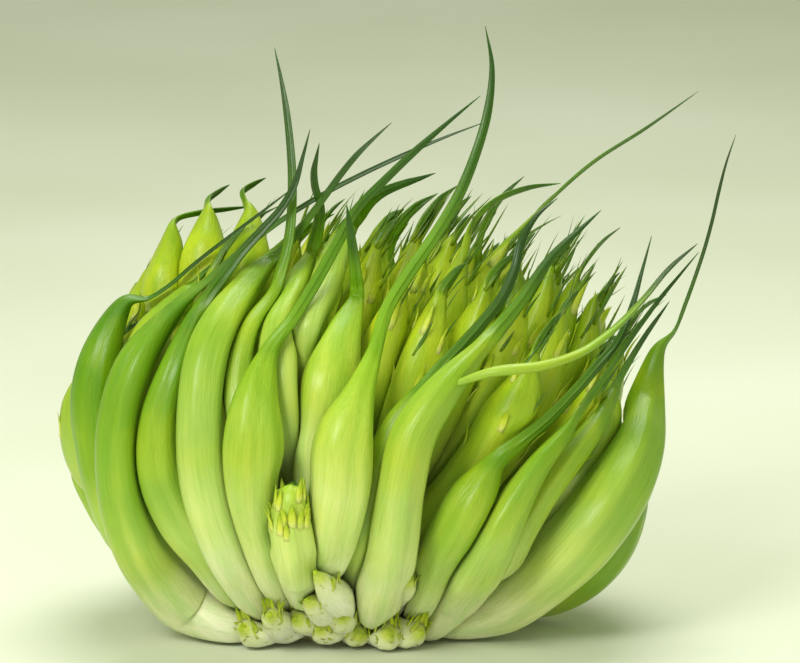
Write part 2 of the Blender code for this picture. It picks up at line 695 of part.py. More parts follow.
def sections(shoot, others, other_radius):
    """Points round each ring of a shoot. Each lies as far out as the soft lesser of the shoot's
    own oval and the room there, taken as the least room along both spans beside the ring."""
    across, out = carried_frame(shoot["path"], shoot["way"])
    middle = denser(shoot["path"], SECTION_SAMPLES)
    half = denser(shoot["half"], SECTION_SAMPLES)
    across = unit(denser(across, SECTION_SAMPLES))[:, None]
    out = unit(denser(out, SECTION_SAMPLES))[:, None]
    turn = np.arange(SIDES[shoot["kind"]]) * 2 * math.pi / SIDES[shoot["kind"]]
    ray = across * np.cos(turn)[None, :, None] + out * np.sin(turn)[None, :, None]
    along = np.arange(len(middle)) / (shoot["neck"] * SECTION_SAMPLES)
    swell = 1 + BODY_SWELL[shoot["kind"]] * np.sin(math.pi * np.clip(along, 0, 1))
    own = swell[:, None] / np.hypot(np.cos(turn) / half[:, :1], np.sin(turn) / half[:, 1:])
    on_crown = shoot["node"] == "crown"
    room = room_round(middle, ray, np.sqrt(half.prod(axis=1)), others, other_radius, on_crown)
    least = room.copy()
    for shift in range(1, SECTION_SAMPLES + 1):
        least[shift:] = np.minimum(least[shift:], room[:-shift])
        least[:-shift] = np.minimum(least[:-shift], room[shift:])
    met = (own**-MEETING_SHARPNESS + least**-MEETING_SHARPNESS) ** (-1 / MEETING_SHARPNESS)
    rings = slice(None, None, SECTION_SAMPLES)
    return middle[rings, None] + ray[rings] * met[rings, :, None]


def loft(name, rings, neck):
    """A closed mesh over rings of points, with a cap at each end. Past the neck it has half as
    many sides, since a leaf is narrow."""
    rings = [ring if k <= neck else ring[::2] for k, ring in enumerate(rings)]
    starts = np.concatenate([[0], np.cumsum([len(ring) for ring in rings])]).tolist()
    faces = []
    for k, (low, high) in enumerate(zip(rings, rings[1:])):
        for s in range(len(high)):
            a, b = starts[k + 1] + s, starts[k + 1] + (s + 1) % len(high)
            if len(low) == len(high):
                faces.append((starts[k] + s, starts[k] + (s + 1) % len(low), b, a))
            else:
                c, d = starts[k] + 2 * s, starts[k] + 2 * s + 1
                e = starts[k] + (2 * s + 2) % len(low)
                faces += [(c, d, a), (d, b, a), (d, e, b)]
    faces.append(tuple(range(len(rings[0])))[::-1])
    faces.append(tuple(range(starts[-2], starts[-1])))
    mesh = bpy.data.meshes.new(name)
    mesh.from_pydata((np.vstack(rings) * MM).tolist(), [], faces)
    mesh.update()
    mesh.shade_smooth()
    mesh.set_sharp_from_angle(angle=SHARP_FROM)
    return mesh


def material_of(kind):
    """The flesh colour of one kind of piece."""
    name = kind + "_flesh"
    material = bpy.data.materials.get(name)
    if material is None:
        material = bpy.data.materials.new(name)
        material.use_nodes = True
        shader = material.node_tree.nodes["Principled BSDF"]
        shader.inputs["Base Color"].default_value = (*COLOURS[kind], 1)
        shader.inputs["Roughness"].default_value = ROUGHNESS
        shader.inputs["Metallic"].default_value = 0
    return material


def add_object(name, mesh, kind):
    """An object for a mesh, with the material of its kind."""
    obj = bpy.data.objects.new(name, mesh)
    obj.data.materials.append(material_of(kind))
    bpy.context.scene.collection.objects.link(obj)


def crown_dome():
    """The crown: rings of an ellipsoid from its cut face up to its top."""
    lowest = -math.asin(CROWN_MIDDLE[2] / CROWN_HALF[2])
    lift = np.linspace(lowest, CROWN_TOP_LIFT, CROWN_RINGS)[:, None]
    turn = np.arange(CROWN_SIDES) * 2 * math.pi / CROWN_SIDES
    ball = np.stack([np.cos(lift) * np.cos(turn), np.cos(lift) * np.sin(turn),
                     np.sin(lift) * np.ones(CROWN_SIDES)], axis=2)
    rings = CROWN_MIDDLE + CROWN_HALF * ball
    rings[0, :, 2] = 0
    return loft("crown", rings, CROWN_RINGS)


def split_line(work, edge):
    """Where two flat faces were cut into triangles along the same line, splits the triangles of
    the first one at the middle of that line, so that each edge keeps two faces."""
    first = edge.link_faces[0]
    second = max(edge.link_faces[1:], key=lambda face: face.normal.dot(first.normal))
    middle = work.verts.new((edge.verts[0].co + edge.verts[1].co) / 2)
    for face in (first, second):
        loop = next(loop for loop in face.loops if loop.edge == edge)
        tip = loop.link_loop_prev.vert
        for corners in ((loop.vert, middle, tip), (middle, loop.link_loop_next.vert, tip)):
            work.faces.new(corners).smooth = True
    bmesh.ops.delete(work, geom=[first, second], context="FACES_ONLY")


def fill_pockets(mesh):
    """Fills the small pockets that a union has sealed in: only the largest shell stays, in
    triangles that meet two at each edge."""
    work = bmesh.new()
    work.from_mesh(mesh)
    bmesh.ops.triangulate(work, faces=work.faces)
    work.normal_update()
    for edge in [edge for edge in work.edges if len(edge.link_faces) > 2]:
        split_line(work, edge)
    unseen = set(work.verts)
    shells = []
    while unseen:
        ahead = [unseen.pop()]
        shell = []
        while ahead:
            vert = ahead.pop()
            shell.append(vert)
            beside = {edge.other_vert(vert) for edge in vert.link_edges} & unseen
            unseen -= beside
            ahead.extend(beside)
        shells.append(shell)
    shells.sort(key=len)
    for shell in shells[:-1]:
        bmesh.ops.delete(work, geom=shell, context="VERTS")
    work.to_mesh(mesh)
    work.free()


def join(name, meshes):
    """Joins the meshes to the named object by one union, and leaves no helper objects."""
    obj = bpy.data.objects[name]
    group = bpy.data.collections.new("joined_to_" + name)
    bpy.context.scene.collection.children.link(group)
    helpers = [bpy.data.objects.new("helper", mesh) for mesh in meshes]
    for helper in helpers:
        group.objects.link(helper)
    union = obj.modifiers.new("union", "BOOLEAN")
    union.operation = "UNION"
    union.operand_type = "COLLECTION"
    union.collection = group
    bpy.context.view_layer.update()
    graph = bpy.context.evaluated_depsgraph_get()
    joined = bpy.data.meshes.new_from_object(obj.evaluated_get(graph))
    fill_pockets(joined)
    obj.modifiers.clear()
    obj.data = joined
    for helper in helpers:
        bpy.data.objects.remove(helper)
    bpy.data.collections.remove(group)


def build():
    """Builds the crown with its hearts and buds, and every shoot as an object of its own."""
    for obj in list(bpy.data.objects):
        bpy.data.objects.remove(obj)
    shoots = all_shoots()
    settle(shoots)
    strap = shoots[-1]
    parent = next(shoot for shoot in shoots if shoot["name"] == STRAP_OF)
    shoulder = np.argmin(np.linalg.norm(parent["path"] - strap["path"][0], axis=1))
    strap["path"][0] = parent["path"][shoulder]

    middles = [denser(shoot["path"], SECTION_SAMPLES) for shoot in shoots]
    radii = [np.sqrt(denser(shoot["half"], SECTION_SAMPLES).prod(axis=1)) for shoot in shoots]
    add_object("crown", crown_dome(), "crown")
    joined = {"crown": [], strap["node"]: []}
    for shoot in shoots:
        apart = [other["node"] != shoot["node"] for other in shoots]
        others = np.vstack([middle for middle, far in zip(middles, apart) if far])
        other_radius = np.concatenate([radius for radius, far in zip(radii, apart) if far])
        mesh = loft(shoot["name"], sections(shoot, others, other_radius), shoot["neck"])
        if shoot["kind"] in ("heart", "bud", "strap"):
            joined[shoot["node"]].append(mesh)
        else:
            add_object(shoot["node"], mesh, shoot["kind"])
    for name, meshes in joined.items():
        join(name, meshes)


build()
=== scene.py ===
"""A head of puntarelle, the hollow shoots of a chicory, on a pale floor.

Lengths are in millimetres, and become metres where a mesh is made. +Z is up, the front faces -Y,
and the origin is the middle of the crown's cut face.
"""

import math
import random
from types import SimpleNamespace

import bpy
import numpy as np
from mathutils import Matrix
from numpy.linalg import norm


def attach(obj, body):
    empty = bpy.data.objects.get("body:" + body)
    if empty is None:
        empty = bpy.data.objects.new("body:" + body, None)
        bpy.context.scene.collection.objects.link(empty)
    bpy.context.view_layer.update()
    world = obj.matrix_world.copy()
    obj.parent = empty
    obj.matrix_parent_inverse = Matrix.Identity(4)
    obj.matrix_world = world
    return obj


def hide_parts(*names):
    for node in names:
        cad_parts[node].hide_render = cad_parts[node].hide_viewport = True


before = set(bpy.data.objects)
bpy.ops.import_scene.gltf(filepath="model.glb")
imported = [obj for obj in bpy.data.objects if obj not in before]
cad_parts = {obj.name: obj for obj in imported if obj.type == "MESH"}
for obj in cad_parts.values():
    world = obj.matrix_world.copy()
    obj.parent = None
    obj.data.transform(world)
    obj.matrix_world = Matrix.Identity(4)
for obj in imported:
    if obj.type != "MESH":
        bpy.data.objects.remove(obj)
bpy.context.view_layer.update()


# The crown. It is the short, thick stem that every shoot grows from, cut straight across with a
# knife, so its foot is flat, cream and a little browned at the rim. The head stands on that cut.

MM = 0.001
CROWN_HALF = np.array([26.0, 26.0, 27.0])
CROWN_MIDDLE = np.array([0.0, 0.0, 6.0])
CROWN_SIDES = 96
CROWN_FACE = (0.12, 0.3, 0.5, 0.7, 0.85, 0.94, 0.985)
CROWN_LIFTS = 40
CROWN_TOP = math.radians(88)
CROWN_WAVE = 0.02
CROWN_WAVES = (9, 5)
CROWN_WAVE_SHIFT = 1.0
CROWN_WAVE_RISE = 4
MOIST = {"Subsurface Weight": 0.2, "Subsurface Scale": 0.003}
GRAIN_SPAN = (0.3, 0.7)


def unit(vector):
    """The vector, or each row of vectors, at length 1."""
    return vector / np.maximum(norm(vector, axis=-1, keepdims=True), 1e-9)


def placed(name, data):
    """A new object of a mesh, a light or a camera, put into the scene."""
    obj = bpy.data.objects.new(name, data)
    bpy.context.scene.collection.objects.link(obj)
    return obj


def dressed(obj, material, slot, *replaced):
    """Gives a piece its material, puts it under the root body and hides the nodes that it replaces. Its
    slot is not used.
    """
    obj.data.materials.append(material)
    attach(obj, "root")
    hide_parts(*replaced)


def shells(name, rings, **marks):
    """An object of closed shells. rings[b, r, s] is the point at side s of ring r of shell b: each
    side joins the next one and the same side of the next ring, and a point in the middle of each
    end ring closes the shell. A mark is a number or a vector kept at each point."""
    count, length, sides = rings.shape[:3]

    def with_ends(values):
        ends = np.stack([values[:, 0].mean(axis=1), values[:, -1].mean(axis=1)], axis=1)
        flat = values.reshape(count, length * sides, *values.shape[3:])
        return np.concatenate([flat, ends], axis=1).reshape(-1, *values.shape[3:])

    each = length * sides + 2
    side = np.arange(sides)
    ahead = (side + 1) % sides
    row = np.arange(length - 1)[:, None] * sides
    quads = np.stack([row + side, row + ahead, row + sides + ahead, row + sides + side], axis=-1)
    foot = np.stack([np.full(sides, each - 2), ahead, side], axis=-1)
    last = (length - 1) * sides
    top = np.stack([np.full(sides, each - 1), last + side, last + ahead], axis=-1)
    shift = (np.arange(count) * each)[:, None, None]
    quads = (quads.reshape(1, -1, 4) + shift).reshape(-1, 4)
    triangles = (np.concatenate([foot, top])[None] + shift).reshape(-1, 3)
    corners = np.concatenate([quads.ravel(), triangles.ravel()])
    starts = np.concatenate([np.arange(len(quads)) * 4,
                             quads.size + np.arange(len(triangles)) * 3])
    mesh = bpy.data.meshes.new(name)
    points = with_ends(rings * MM)
    mesh.vertices.add(len(points))
    mesh.loops.add(len(corners))
    mesh.polygons.add(len(starts))
    mesh.vertices.foreach_set("co", points.ravel())
    mesh.loops.foreach_set("vertex_index", corners.astype(np.int32))
    mesh.polygons.foreach_set("loop_start", starts.astype(np.int32))
    mesh.update(calc_edges=True)
    mesh.shade_smooth()
    for mark, values in marks.items():
        vector = values.ndim == 4
        kept = mesh.attributes.new(mark, "FLOAT_VECTOR" if vector else "FLOAT", "POINT")
        kept.data.foreach_set("vector" if vector else "value", with_ends(values).ravel())
    return placed(name, mesh)


def blank(name):
    """A new material with its node tree and its shader."""
    material = bpy.data.materials.new(name)
    material.use_nodes = True
    tree = material.node_tree
    return material, tree, tree.nodes["Principled BSDF"]


def ramp(tree, factor, stops):
    """A colour ramp through (place, colour) stops, and the socket of its colour."""
    node = tree.nodes.new("ShaderNodeValToRGB")
    node.color_ramp.interpolation = "EASE"
    for k, (place, colour) in enumerate(stops):
        stop = node.color_ramp.elements[k] if k < 2 else node.color_ramp.elements.new(place)
        stop.position = place
        stop.color = (*colour, 1)
    tree.links.new(factor, node.inputs["Fac"])
    return node.outputs["Color"]


def mixed(tree, factor, first, second, blend="MIX"):
    """The socket of two colours mixed. The factor is a socket or a number."""
    node = tree.nodes.new("ShaderNodeMix")
    node.data_type = "RGBA"
    node.blend_type = blend
    if isinstance(factor, float):
        node.inputs["Factor"].default_value = factor
    else:
        tree.links.new(factor, node.inputs["Factor"])
    for value, place in ((first, "A"), (second, "B")):
        socket = next(i for i in node.inputs if i.name == place and i.type == "RGBA")
        if isinstance(value, tuple):
            socket.default_value = (*value, 1)
        else:
            tree.links.new(value, socket)
    return next(o for o in node.outputs if o.type == "RGBA")


def noise(tree, vector, scale, detail=3.0):
    """The socket of a noise's number, read at a vector."""
    node = tree.nodes.new("ShaderNodeTexNoise")
    node.inputs["Scale"].default_value = scale
    node.inputs["Detail"].default_value = detail
    tree.links.new(vector, node.inputs["Vector"])
    return node.outputs["Fac"]


def stretched(tree, value, low, high, to_low, to_high):
    """The socket of a number taken from between low and high to between two others."""
    node = tree.nodes.new("ShaderNodeMapRange")
    for socket, number in zip(node.inputs[1:5], (low, high, to_low, to_high)):
        socket.default_value = number
    tree.links.new(value, node.inputs["Value"])
    return node.outputs["Result"]


def skinned(tree, shader, colour, grain, rough, distance, values):
    """Gives a shader its colour and other values. A grain's number moves its roughness between
    two and bumps it, over a distance in metres."""
    tree.links.new(colour, shader.inputs["Base Color"])
    tree.links.new(stretched(tree, grain, *GRAIN_SPAN, *rough), shader.inputs["Roughness"])
    for socket, value in values.items():
        shader.inputs[socket].default_value = value
    bump = tree.nodes.new("ShaderNodeBump")
    bump.inputs["Strength"].default_value = 1.0
    bump.inputs["Distance"].default_value = distance
    tree.links.new(grain, bump.inputs["Height"])
    tree.links.new(bump.outputs["Normal"], shader.inputs["Normal"])


def crown_rings():
    """The crown as rings: out across the cut face, then up the ellipsoid. At a ring's lift a and a
    turn t, its point is the crown's middle plus its halves times (cos a cos t, cos a sin t, sin a),
    and the side swells by a small wave of t where shoots leave it."""
    lowest = -math.asin(CROWN_MIDDLE[2] / CROWN_HALF[2])
    turn = np.linspace(0, math.tau, CROWN_SIDES, endpoint=False)
    around = np.stack([np.cos(turn), np.sin(turn), np.zeros(CROWN_SIDES)], axis=1)
    rim = CROWN_HALF[0] * math.cos(lowest)
    face = np.array(CROWN_FACE)[:, None, None] * around * rim
    lift = np.linspace(lowest, CROWN_TOP, CROWN_LIFTS)[:, None, None]
    dome = around * CROWN_HALF * np.cos(lift) + [0, 0, 1] * CROWN_HALF * np.sin(lift) + CROWN_MIDDLE
    many, few = CROWN_WAVES
    wave = CROWN_WAVE * np.sin(many * turn + CROWN_WAVE_SHIFT) * np.sin(few * turn)
    risen = np.clip((lift[:, :, 0] - lowest) * CROWN_WAVE_RISE, 0, 1)
    dome[:, :, :2] *= (1 + wave * risen)[:, :, None]
    return np.concatenate([face, dome])[None]


crown_material, tree, shader = blank("crown_cream")
place = tree.nodes.new("ShaderNodeTexCoord").outputs["Object"]
split = tree.nodes.new("ShaderNodeSeparateXYZ")
tree.links.new(place, split.inputs["Vector"])
fleck = noise(tree, place, 420.0)
cloud = noise(tree, place, 70.0)
height = stretched(tree, split.outputs["Z"], 0.0, 0.03, 0.0, 1.0)
flesh = ramp(tree, height, [(0.0, (0.66, 0.6, 0.34)), (0.08, (0.8, 0.79, 0.52)),
                                    (0.6, (0.66, 0.76, 0.33)), (1.0, (0.4, 0.6, 0.12))])
browned = stretched(tree, cloud, 0.55, 0.75, 0.0, 0.5)
flesh = mixed(tree, browned, flesh, (0.52, 0.42, 0.16))
skinned(tree, shader, flesh, fleck, rough=(0.42, 0.62), distance=0.0004, values=MOIST)

crown = shells("crown_stem", crown_rings())
dressed(crown, crown_material, "crown_flesh", "crown")


# How the front shoots lie. Each is one hollow stalk, narrow at the crown, swollen higher up and
# narrow again at its neck, which runs out into its leaf. Each has how far forward its body lies,
# its stations as (across, up, width) seen from the front, its leaf tip's depth and leaf points.

HEAD_MIDDLE = np.array([6.0, 0.0, 68.0])
HEAD_HALF = np.array([97.0, 75.0, 68.0])
HEAD_POWER = np.array([2.6, 2.0, 2.6])
PATH_INSET = 8.0
LOWEST_FACE = 18.0
FOOT_UP = 32.0
FOOT_SHARE = 0.6
LOOK_DOWN = math.radians(12)
FRONT_FOOT = 6.2
DEPTH_ROUNDS = 40
DEPTH_STEP = 0.3

ROOT_WIDTH = 8.0
ROOT_GAP = 0.4
ROOT_RISE = 6.0
BODY_FLATNESS = 0.92
LEAST_HALF = 0.45
LEAF_WIDTH = 4.0
LEAF_TIP_WIDTH = 1.1
LEAF_TAPER = 0.8
LEAF_THICKNESS = 1.3
CURVE_STEPS = 10
RINGS = {"front": (9, 8), "upper": (7, 4), "rear": (8, 4), "heart": (6, 3), "bud": (6, 0),
         "strap": (8, 0)}

FRONT_SHOOTS = {
    "left_rim": (0.6, [(-66, 34, 11), (-76, 64, 14.5), (-77, 82, 14), (-73, 98, 11), (-67, 109, 6)],
        -8, [(-55, 112), (-35, 128), (-12, 146)]),
    "left_long": (1, [(-33, 9, 11), (-51, 20, 19), (-67, 43, 15), (-70, 66, 12), (-68, 85, 13),
            (-60, 101, 11), (-52, 110, 6.5)],
        -2, [(-28, 131), (-3, 147), (26, 161), (49, 170)]),
    "left_hollow": (0.92, [(-28, 13, 10), (-39, 28, 13), (-53, 48, 15), (-56, 67, 12.5), (-52, 85, 10),
            (-45, 104, 6)],
        -28, [(-30, 126), (-15, 144), (-8, 166)]),
    "left_arched": (1, [(-24, 12, 10), (-33, 29, 14), (-41, 51, 15.5), (-43.5, 74, 14.5),
            (-41.5, 93, 14), (-34, 109, 12), (-24, 123, 7)],
        -25, [(-12, 136), (4, 157), (17, 169)]),
    "left_inner": (1, [(-17, 14, 8), (-21, 29, 12), (-25.5, 51, 16), (-25.5, 70, 17), (-24, 84, 12),
            (-20, 96, 6)],
        -15, [(-12, 107), (-1, 126), (5.5, 139), (26, 160), (46, 177)]),
    "left_thin": (0.9, [(-28, 67, 8), (-31, 80, 10), (-31, 93, 9.5), (-26.5, 104, 7), (-20, 112, 5)],
        -4, [(-15, 130), (-14, 147), (-15, 163), (-17, 178), (-20, 193)]),
    "front_stub": (1.12, [(-12, 17, 9), (-13, 29, 13), (-15, 42, 14), (-15, 51, 9)],
        -66, [(-14, 55)]),
    "front_back_left": (0.9, [(-16, 74, 11), (-18, 90, 12), (-17, 106, 12), (-12, 118, 8.5),
            (-9, 125, 5)],
        -25, [(-6, 140), (-8, 151), (-6, 162)]),
    "front_finger": (0.82, [(-12, 98, 10), (-6.5, 115, 10), (-2, 127, 9), (2.5, 135, 5)],
        -10, [(12, 146), (31, 153)]),
    "front_tall": (0.9, [(-5, 48, 14), (-3.5, 67, 18), (-2, 85, 18.5), (2, 100, 12.5), (6, 111, 5.5)],
        -44, [(6, 119), (4.5, 131), (3, 142)]),
    "front_pale": (1, [(-6, 20, 9), (-3.5, 35, 14), (0, 56, 19), (2, 72, 17), (7, 85, 8.5),
            (11, 96, 5)],
        -10, [(15, 109), (23, 122), (34, 138), (42, 154), (48, 174), (49, 190), (47, 200)]),
    "front_slim": (0.97, [(4, 16, 6.5), (8, 34, 8.5), (12.5, 54, 8.5), (17.5, 68, 8), (28, 82.5, 5)],
        -28, [(42, 98), (55, 115), (61, 134), (71, 144)]),
    "right_arched": (1.02, [(11, 10, 10), (15, 24, 15), (19, 43, 13.5), (21.5, 61, 12), (26, 74, 11.5),
            (35, 86, 9.5), (45, 97, 6)],
        -26, [(58, 112), (68, 126), (84, 141)]),
    "right_spear": (0.98, [(20.5, 9, 8), (27.5, 23, 12), (36, 38, 14.5), (43, 50.5, 13), (49, 60, 6.5)],
        -20, [(65, 72), (81, 88), (92, 102), (101, 132)]),
    "right_long": (1, [(29, 7, 9.5), (37, 17, 15), (46, 31, 14.5), (54, 45, 11.5), (62, 58, 8.5),
            (72, 70, 5)],
        -16, [(84, 86), (98, 106), (116, 128)]),
    "right_thin": (0.94, [(52, 24, 6), (61, 42.5, 7.5), (71, 57, 8.5), (81, 70, 7), (88, 82, 4.5)],
        -24, [(97, 98), (106, 112)]),
    "right_broad": (0.98, [(36, 6, 10), (49, 12, 16), (65, 25, 20), (78, 39, 21), (88, 55, 19),
            (94, 70, 15.5), (98, 85, 11), (101, 96, 5.5)],
        8, [(106, 101), (113, 117), (119, 134), (124, 154), (128, 166)]),
    "left_low": (0.25, [(-36, 16, 12), (-50, 30, 18), (-60, 46, 16), (-62, 60, 9), (-61, 68, 5)],
        -4, [(-58, 74)]),
    "right_low": (0.25, [(40, 14, 12), (58, 26, 18), (70, 42, 17), (74, 56, 10), (77, 64, 5)],
        -4, [(80, 70)]),
    "right_rim": (-0.3, [(48, 10, 10), (71, 15, 13), (86, 29, 17), (93, 43, 16), (97, 54, 9)],
        12, [(99, 60), (101, 64)]),
}


def smooth_curve(stations, steps):
    """A curve through the stations: on each span a cubic that leaves each station along the line
    between its two neighbours. Columns past the third, such as width, go along with it."""
    points = np.asarray(stations, float)
    ends = np.vstack([2 * points[0] - points[1], points, 2 * points[-1] - points[-2]])
    t = np.linspace(0, 1, steps, endpoint=False)[:, None]
    spans = []
    for a, b, c, d in zip(ends, ends[1:], ends[2:], ends[3:]):
        bend = (2 * a - 5 * b + 4 * c - d) * t**2 + (3 * b - a - 3 * c + d) * t**3
        spans.append(0.5 * (2 * b + (c - a) * t + bend))
    return np.vstack(spans + [points[-1:]])


def evenly(curve, count):
    """So many points at even steps along a curve."""
    steps = norm(np.diff(curve[:, :3], axis=0), axis=1)
    run = np.concatenate([[0], np.cumsum(steps)])
    wanted = np.linspace(0, run[-1], count)
    return np.column_stack([np.interp(wanted, run, column) for column in curve.T])


def height_seen(up, back):
    """The true height of a point that the front view shows at up and that lies at depth back:
    (up - foot - back sin d) / cos d, where d is how far that view looks down."""
    return (up - FRONT_FOOT - back * math.sin(LOOK_DOWN)) / math.cos(LOOK_DOWN)


def face_depth(across, height):
    """How far in front of the mid-plane a path on the head's rounded face lies there, where the
    powers of |x|, |y| and |z| over the halves add up to 1."""
    half = HEAD_HALF - PATH_INSET
    x = abs(across - HEAD_MIDDLE[0]) / half[0]
    z = abs(max(height, LOWEST_FACE) - HEAD_MIDDLE[2]) / half[2]
    left = max(1 - x ** HEAD_POWER[0] - z ** HEAD_POWER[2], 0)
    return half[1] * left ** (1 / HEAD_POWER[1])


def on_face(across, up, forward):
    """The point that the front view shows at (across, up), so far forward of the mid-plane. Its
    depth depends on its height and its height on its depth, so both are closed in on in turn."""
    forward *= FOOT_SHARE + (1 - FOOT_SHARE) * min(up / FOOT_UP, 1)
    back = 0.0
    for _ in range(DEPTH_ROUNDS):
        wanted = -forward * face_depth(across, height_seen(up, back))
        back += DEPTH_STEP * (wanted - back)
    return np.array([across, back, height_seen(up, back)])


def leaf_points(neck, tip_back, leaf):
    """A leaf's points as true positions, from the neck's depth to the tip's in even steps."""
    backs = np.linspace(neck[1], tip_back, len(leaf) + 1)[1:]
    return [(across, back, height_seen(up, back)) for (across, up), back in zip(leaf, backs)]


def shoot_from(name, kind, body, leaf, way):
    """A shoot as points along its path with half-widths across and through it. It is worked out
    from stations of (x, y, z, width) along its body and points along its leaf."""
    shrink = np.linspace(1, 0, len(leaf) + 1)[1:] ** LEAF_TAPER
    widths = LEAF_TIP_WIDTH + (LEAF_WIDTH - LEAF_TIP_WIDTH) * shrink
    stations = [*body, *((*point, width) for point, width in zip(leaf, widths))]
    curve = smooth_curve(stations, CURVE_STEPS)
    split_at = CURVE_STEPS * (len(body) - 1)
    body_rings, leaf_rings = RINGS[kind]
    path = evenly(curve[: split_at + 1], body_rings)
    through = path[:, 3] * BODY_FLATNESS
    if leaf_rings:
        path = np.vstack([path, evenly(curve[split_at:], leaf_rings + 1)[1:]])
        through = np.append(through, np.full(leaf_rings, LEAF_THICKNESS))
    if kind == "strap":
        through = np.maximum(path[:, 3] * STRAP_FLATNESS, LEAF_THICKNESS)
    half = np.maximum(np.column_stack([path[:, 3], through]) / 2, LEAST_HALF)
    return SimpleNamespace(name=name, kind=kind, node="shoot_" + name, path=path[:, :3], half=half,
                           neck=body_rings - 1, way=way)


plans = []
for name, (forward, stations, tip_back, leaf) in FRONT_SHOOTS.items():
    body = [(*on_face(across, up, forward), width) for across, up, width in stations]
    plans.append(("front", name, body[0][:3], body, leaf_points(body[-1], tip_back, leaf)))
taken = [np.array(station[:3]) for plan in plans for station in plan[3][2:]]


# How the upper shoots lie. These are shorter stalks behind the front ones, and only their tops
# show, given by their necks as (across, up, width, forward). Some have leaves of their own shape,
# and the others' are blown to one side.

UPPER_NECKS = [
    (11.5, 126, 13, 1.0), (40, 125.5, 14, 1.0), (32, 111, 16, 1.0), (53.5, 128.5, 14, 1.0),
    (47, 114, 13, 1.0), (59, 112.5, 14, 1.0), (78, 116, 13, 1.0), (71, 106, 14, 1.0),
    (84, 112.5, 13, 1.0), (67.5, 121.5, 13, 1.0), (85, 89.5, 13, 1.0), (24.5, 129.5, 13, 1.0),
    (20, 115, 14, 1.0), (62, 92, 16, 0.95), (92, 97, 14, 0.9), (-56, 132, 17, -0.3),
    (-44, 138, 16, -0.45), (-31, 141, 15, -0.45), (-44, 117, 12, 0.9), (-18, 129, 14, 0.9),
    (-31, 128, 14, 0.8),
]
UPPER_LEAVES = {
    1: (5, [(45, 139), (57, 147), (72, 150)]),
    3: (18, [(65, 141), (84, 158), (103, 170), (117, 180)]),
    15: (8, [(-56, 138), (-47, 142), (-30, 144)]),
    16: (14, [(-44, 144), (-37, 149)]),
    17: (12, [(-32, 147), (-24, 152)]),
}
UPPER_BULGE = 0.3
NECK_RUN = 0.42
LEAF_LENGTHS = {"upper": (9, 26), "rear": (12, 38), "heart": (9, 20)}
LEAF_SHARES = (0.35, 0.7, 1.0)
SWEEP = np.array([0.8, 0.12, 0.59])
SWEEP_SPREAD = np.array([0.3, 0.35, 0.28])
RISING = np.array([0.28, 0.05, 1.0])
BODY_STATIONS = 7
BODY_RUN = [0, 0.15, 0.4, 0.85, 0.95, 1]
SHORT_WIDTHS = [0.3, 0.5, 0.85, 1.0, 0.75, 0.35]


def kept_inside(points, inset=PATH_INSET):
    """The points, with those less than inset inside the outline brought in toward its middle."""
    away = points - HEAD_MIDDLE
    past = (np.abs(away / (HEAD_HALF - inset)) ** HEAD_POWER).sum(axis=-1, keepdims=True)
    return HEAD_MIDDLE + away / np.sqrt(np.maximum(past, 1))


def blown_leaf(neck, rising, kind, chance):
    """Three points of a leaf that leaves the neck as it rises, and bends over as it is blown."""
    length = chance.uniform(*LEAF_LENGTHS[kind])
    sweep = unit(SWEEP + SWEEP_SPREAD * [chance.uniform(-1, 1) for _ in range(3)])
    knee = rising * length / 2
    tip = knee + sweep * length / 2
    return [neck + knee * 2 * f * (1 - f) + tip * f * f for f in LEAF_SHARES]


def free_body(neck, width, root, way, bulge, rising, widths, inset):
    """Stations of a body that leaves its root along way, bulges out, and rises into its neck: the
    cubic a(1-f)^3 + 3b f(1-f)^2 + 3c f^2(1-f) + d f^3 of the root, a point along way, a point
    below the neck, and the neck."""
    f = np.linspace(0, 1, BODY_STATIONS)[:, None]
    reach = norm(neck - root)
    low = root + way * bulge * reach
    high = neck - rising * NECK_RUN * reach
    line = root * (1 - f)**3 + low * 3 * f * (1 - f)**2 + high * 3 * f**2 * (1 - f) + neck * f**3
    shares = np.interp(f[:, 0], BODY_RUN, widths)
    return [(*point, width * share) for point, share in zip(kept_inside(line, inset), shares)]


for k, (across, up, width, forward) in enumerate(UPPER_NECKS):
    neck = on_face(across, up, forward)
    taken.append(neck)
    leaf = leaf_points(neck, *UPPER_LEAVES[k]) if k in UPPER_LEAVES else None
    plans.append(("upper", f"upper_{k + 1:02d}", neck, width, leaf))


# How the rear shoots lie. Long, full stalks close the head's sides and back. Their necks take
# turns between three heights round the rounded outline, so that they overlap like scales.

REAR_COUNT = 17
REAR_FROM = math.radians(-8)
REAR_TO = math.radians(196)
REAR_NECK_UP = (88.0, 114.0, 68.0)
REAR_WIDTH = 24.0
REAR_INSET = 12.0
REAR_BULGE = 0.75
REAR_LEAN_IN = 0.25
REAR_WIDTHS = [0.35, 0.6, 0.92, 0.95, 0.6, 0.3]

for k in range(REAR_COUNT):
    turn = REAR_FROM + (REAR_TO - REAR_FROM) * k / (REAR_COUNT - 1)
    height = REAR_NECK_UP[k % len(REAR_NECK_UP)]
    half = HEAD_HALF - REAR_INSET
    reach = math.sqrt(1 - (abs(height - HEAD_MIDDLE[2]) / half[2]) ** HEAD_POWER[2])
    spot = half * reach * [math.cos(turn), math.sin(turn), 0]
    neck = np.array([HEAD_MIDDLE[0] + spot[0], spot[1], height])
    taken.append(neck)
    plans.append(("rear", f"rear_{k + 1:02d}", neck, REAR_WIDTH, None))


# How the heart shoots lie. They are the young stalks that fill the top, one on each turn of a
# golden-angle spiral wherever there is room among the others.

GOLDEN_ANGLE = math.pi * (3 - math.sqrt(5))
HEART_TRIES = 260
HEART_MOST = 34
HEART_ROOM = 15.0
HEART_WIDTH = 17.5
HEART_SPREAD = math.radians(72)

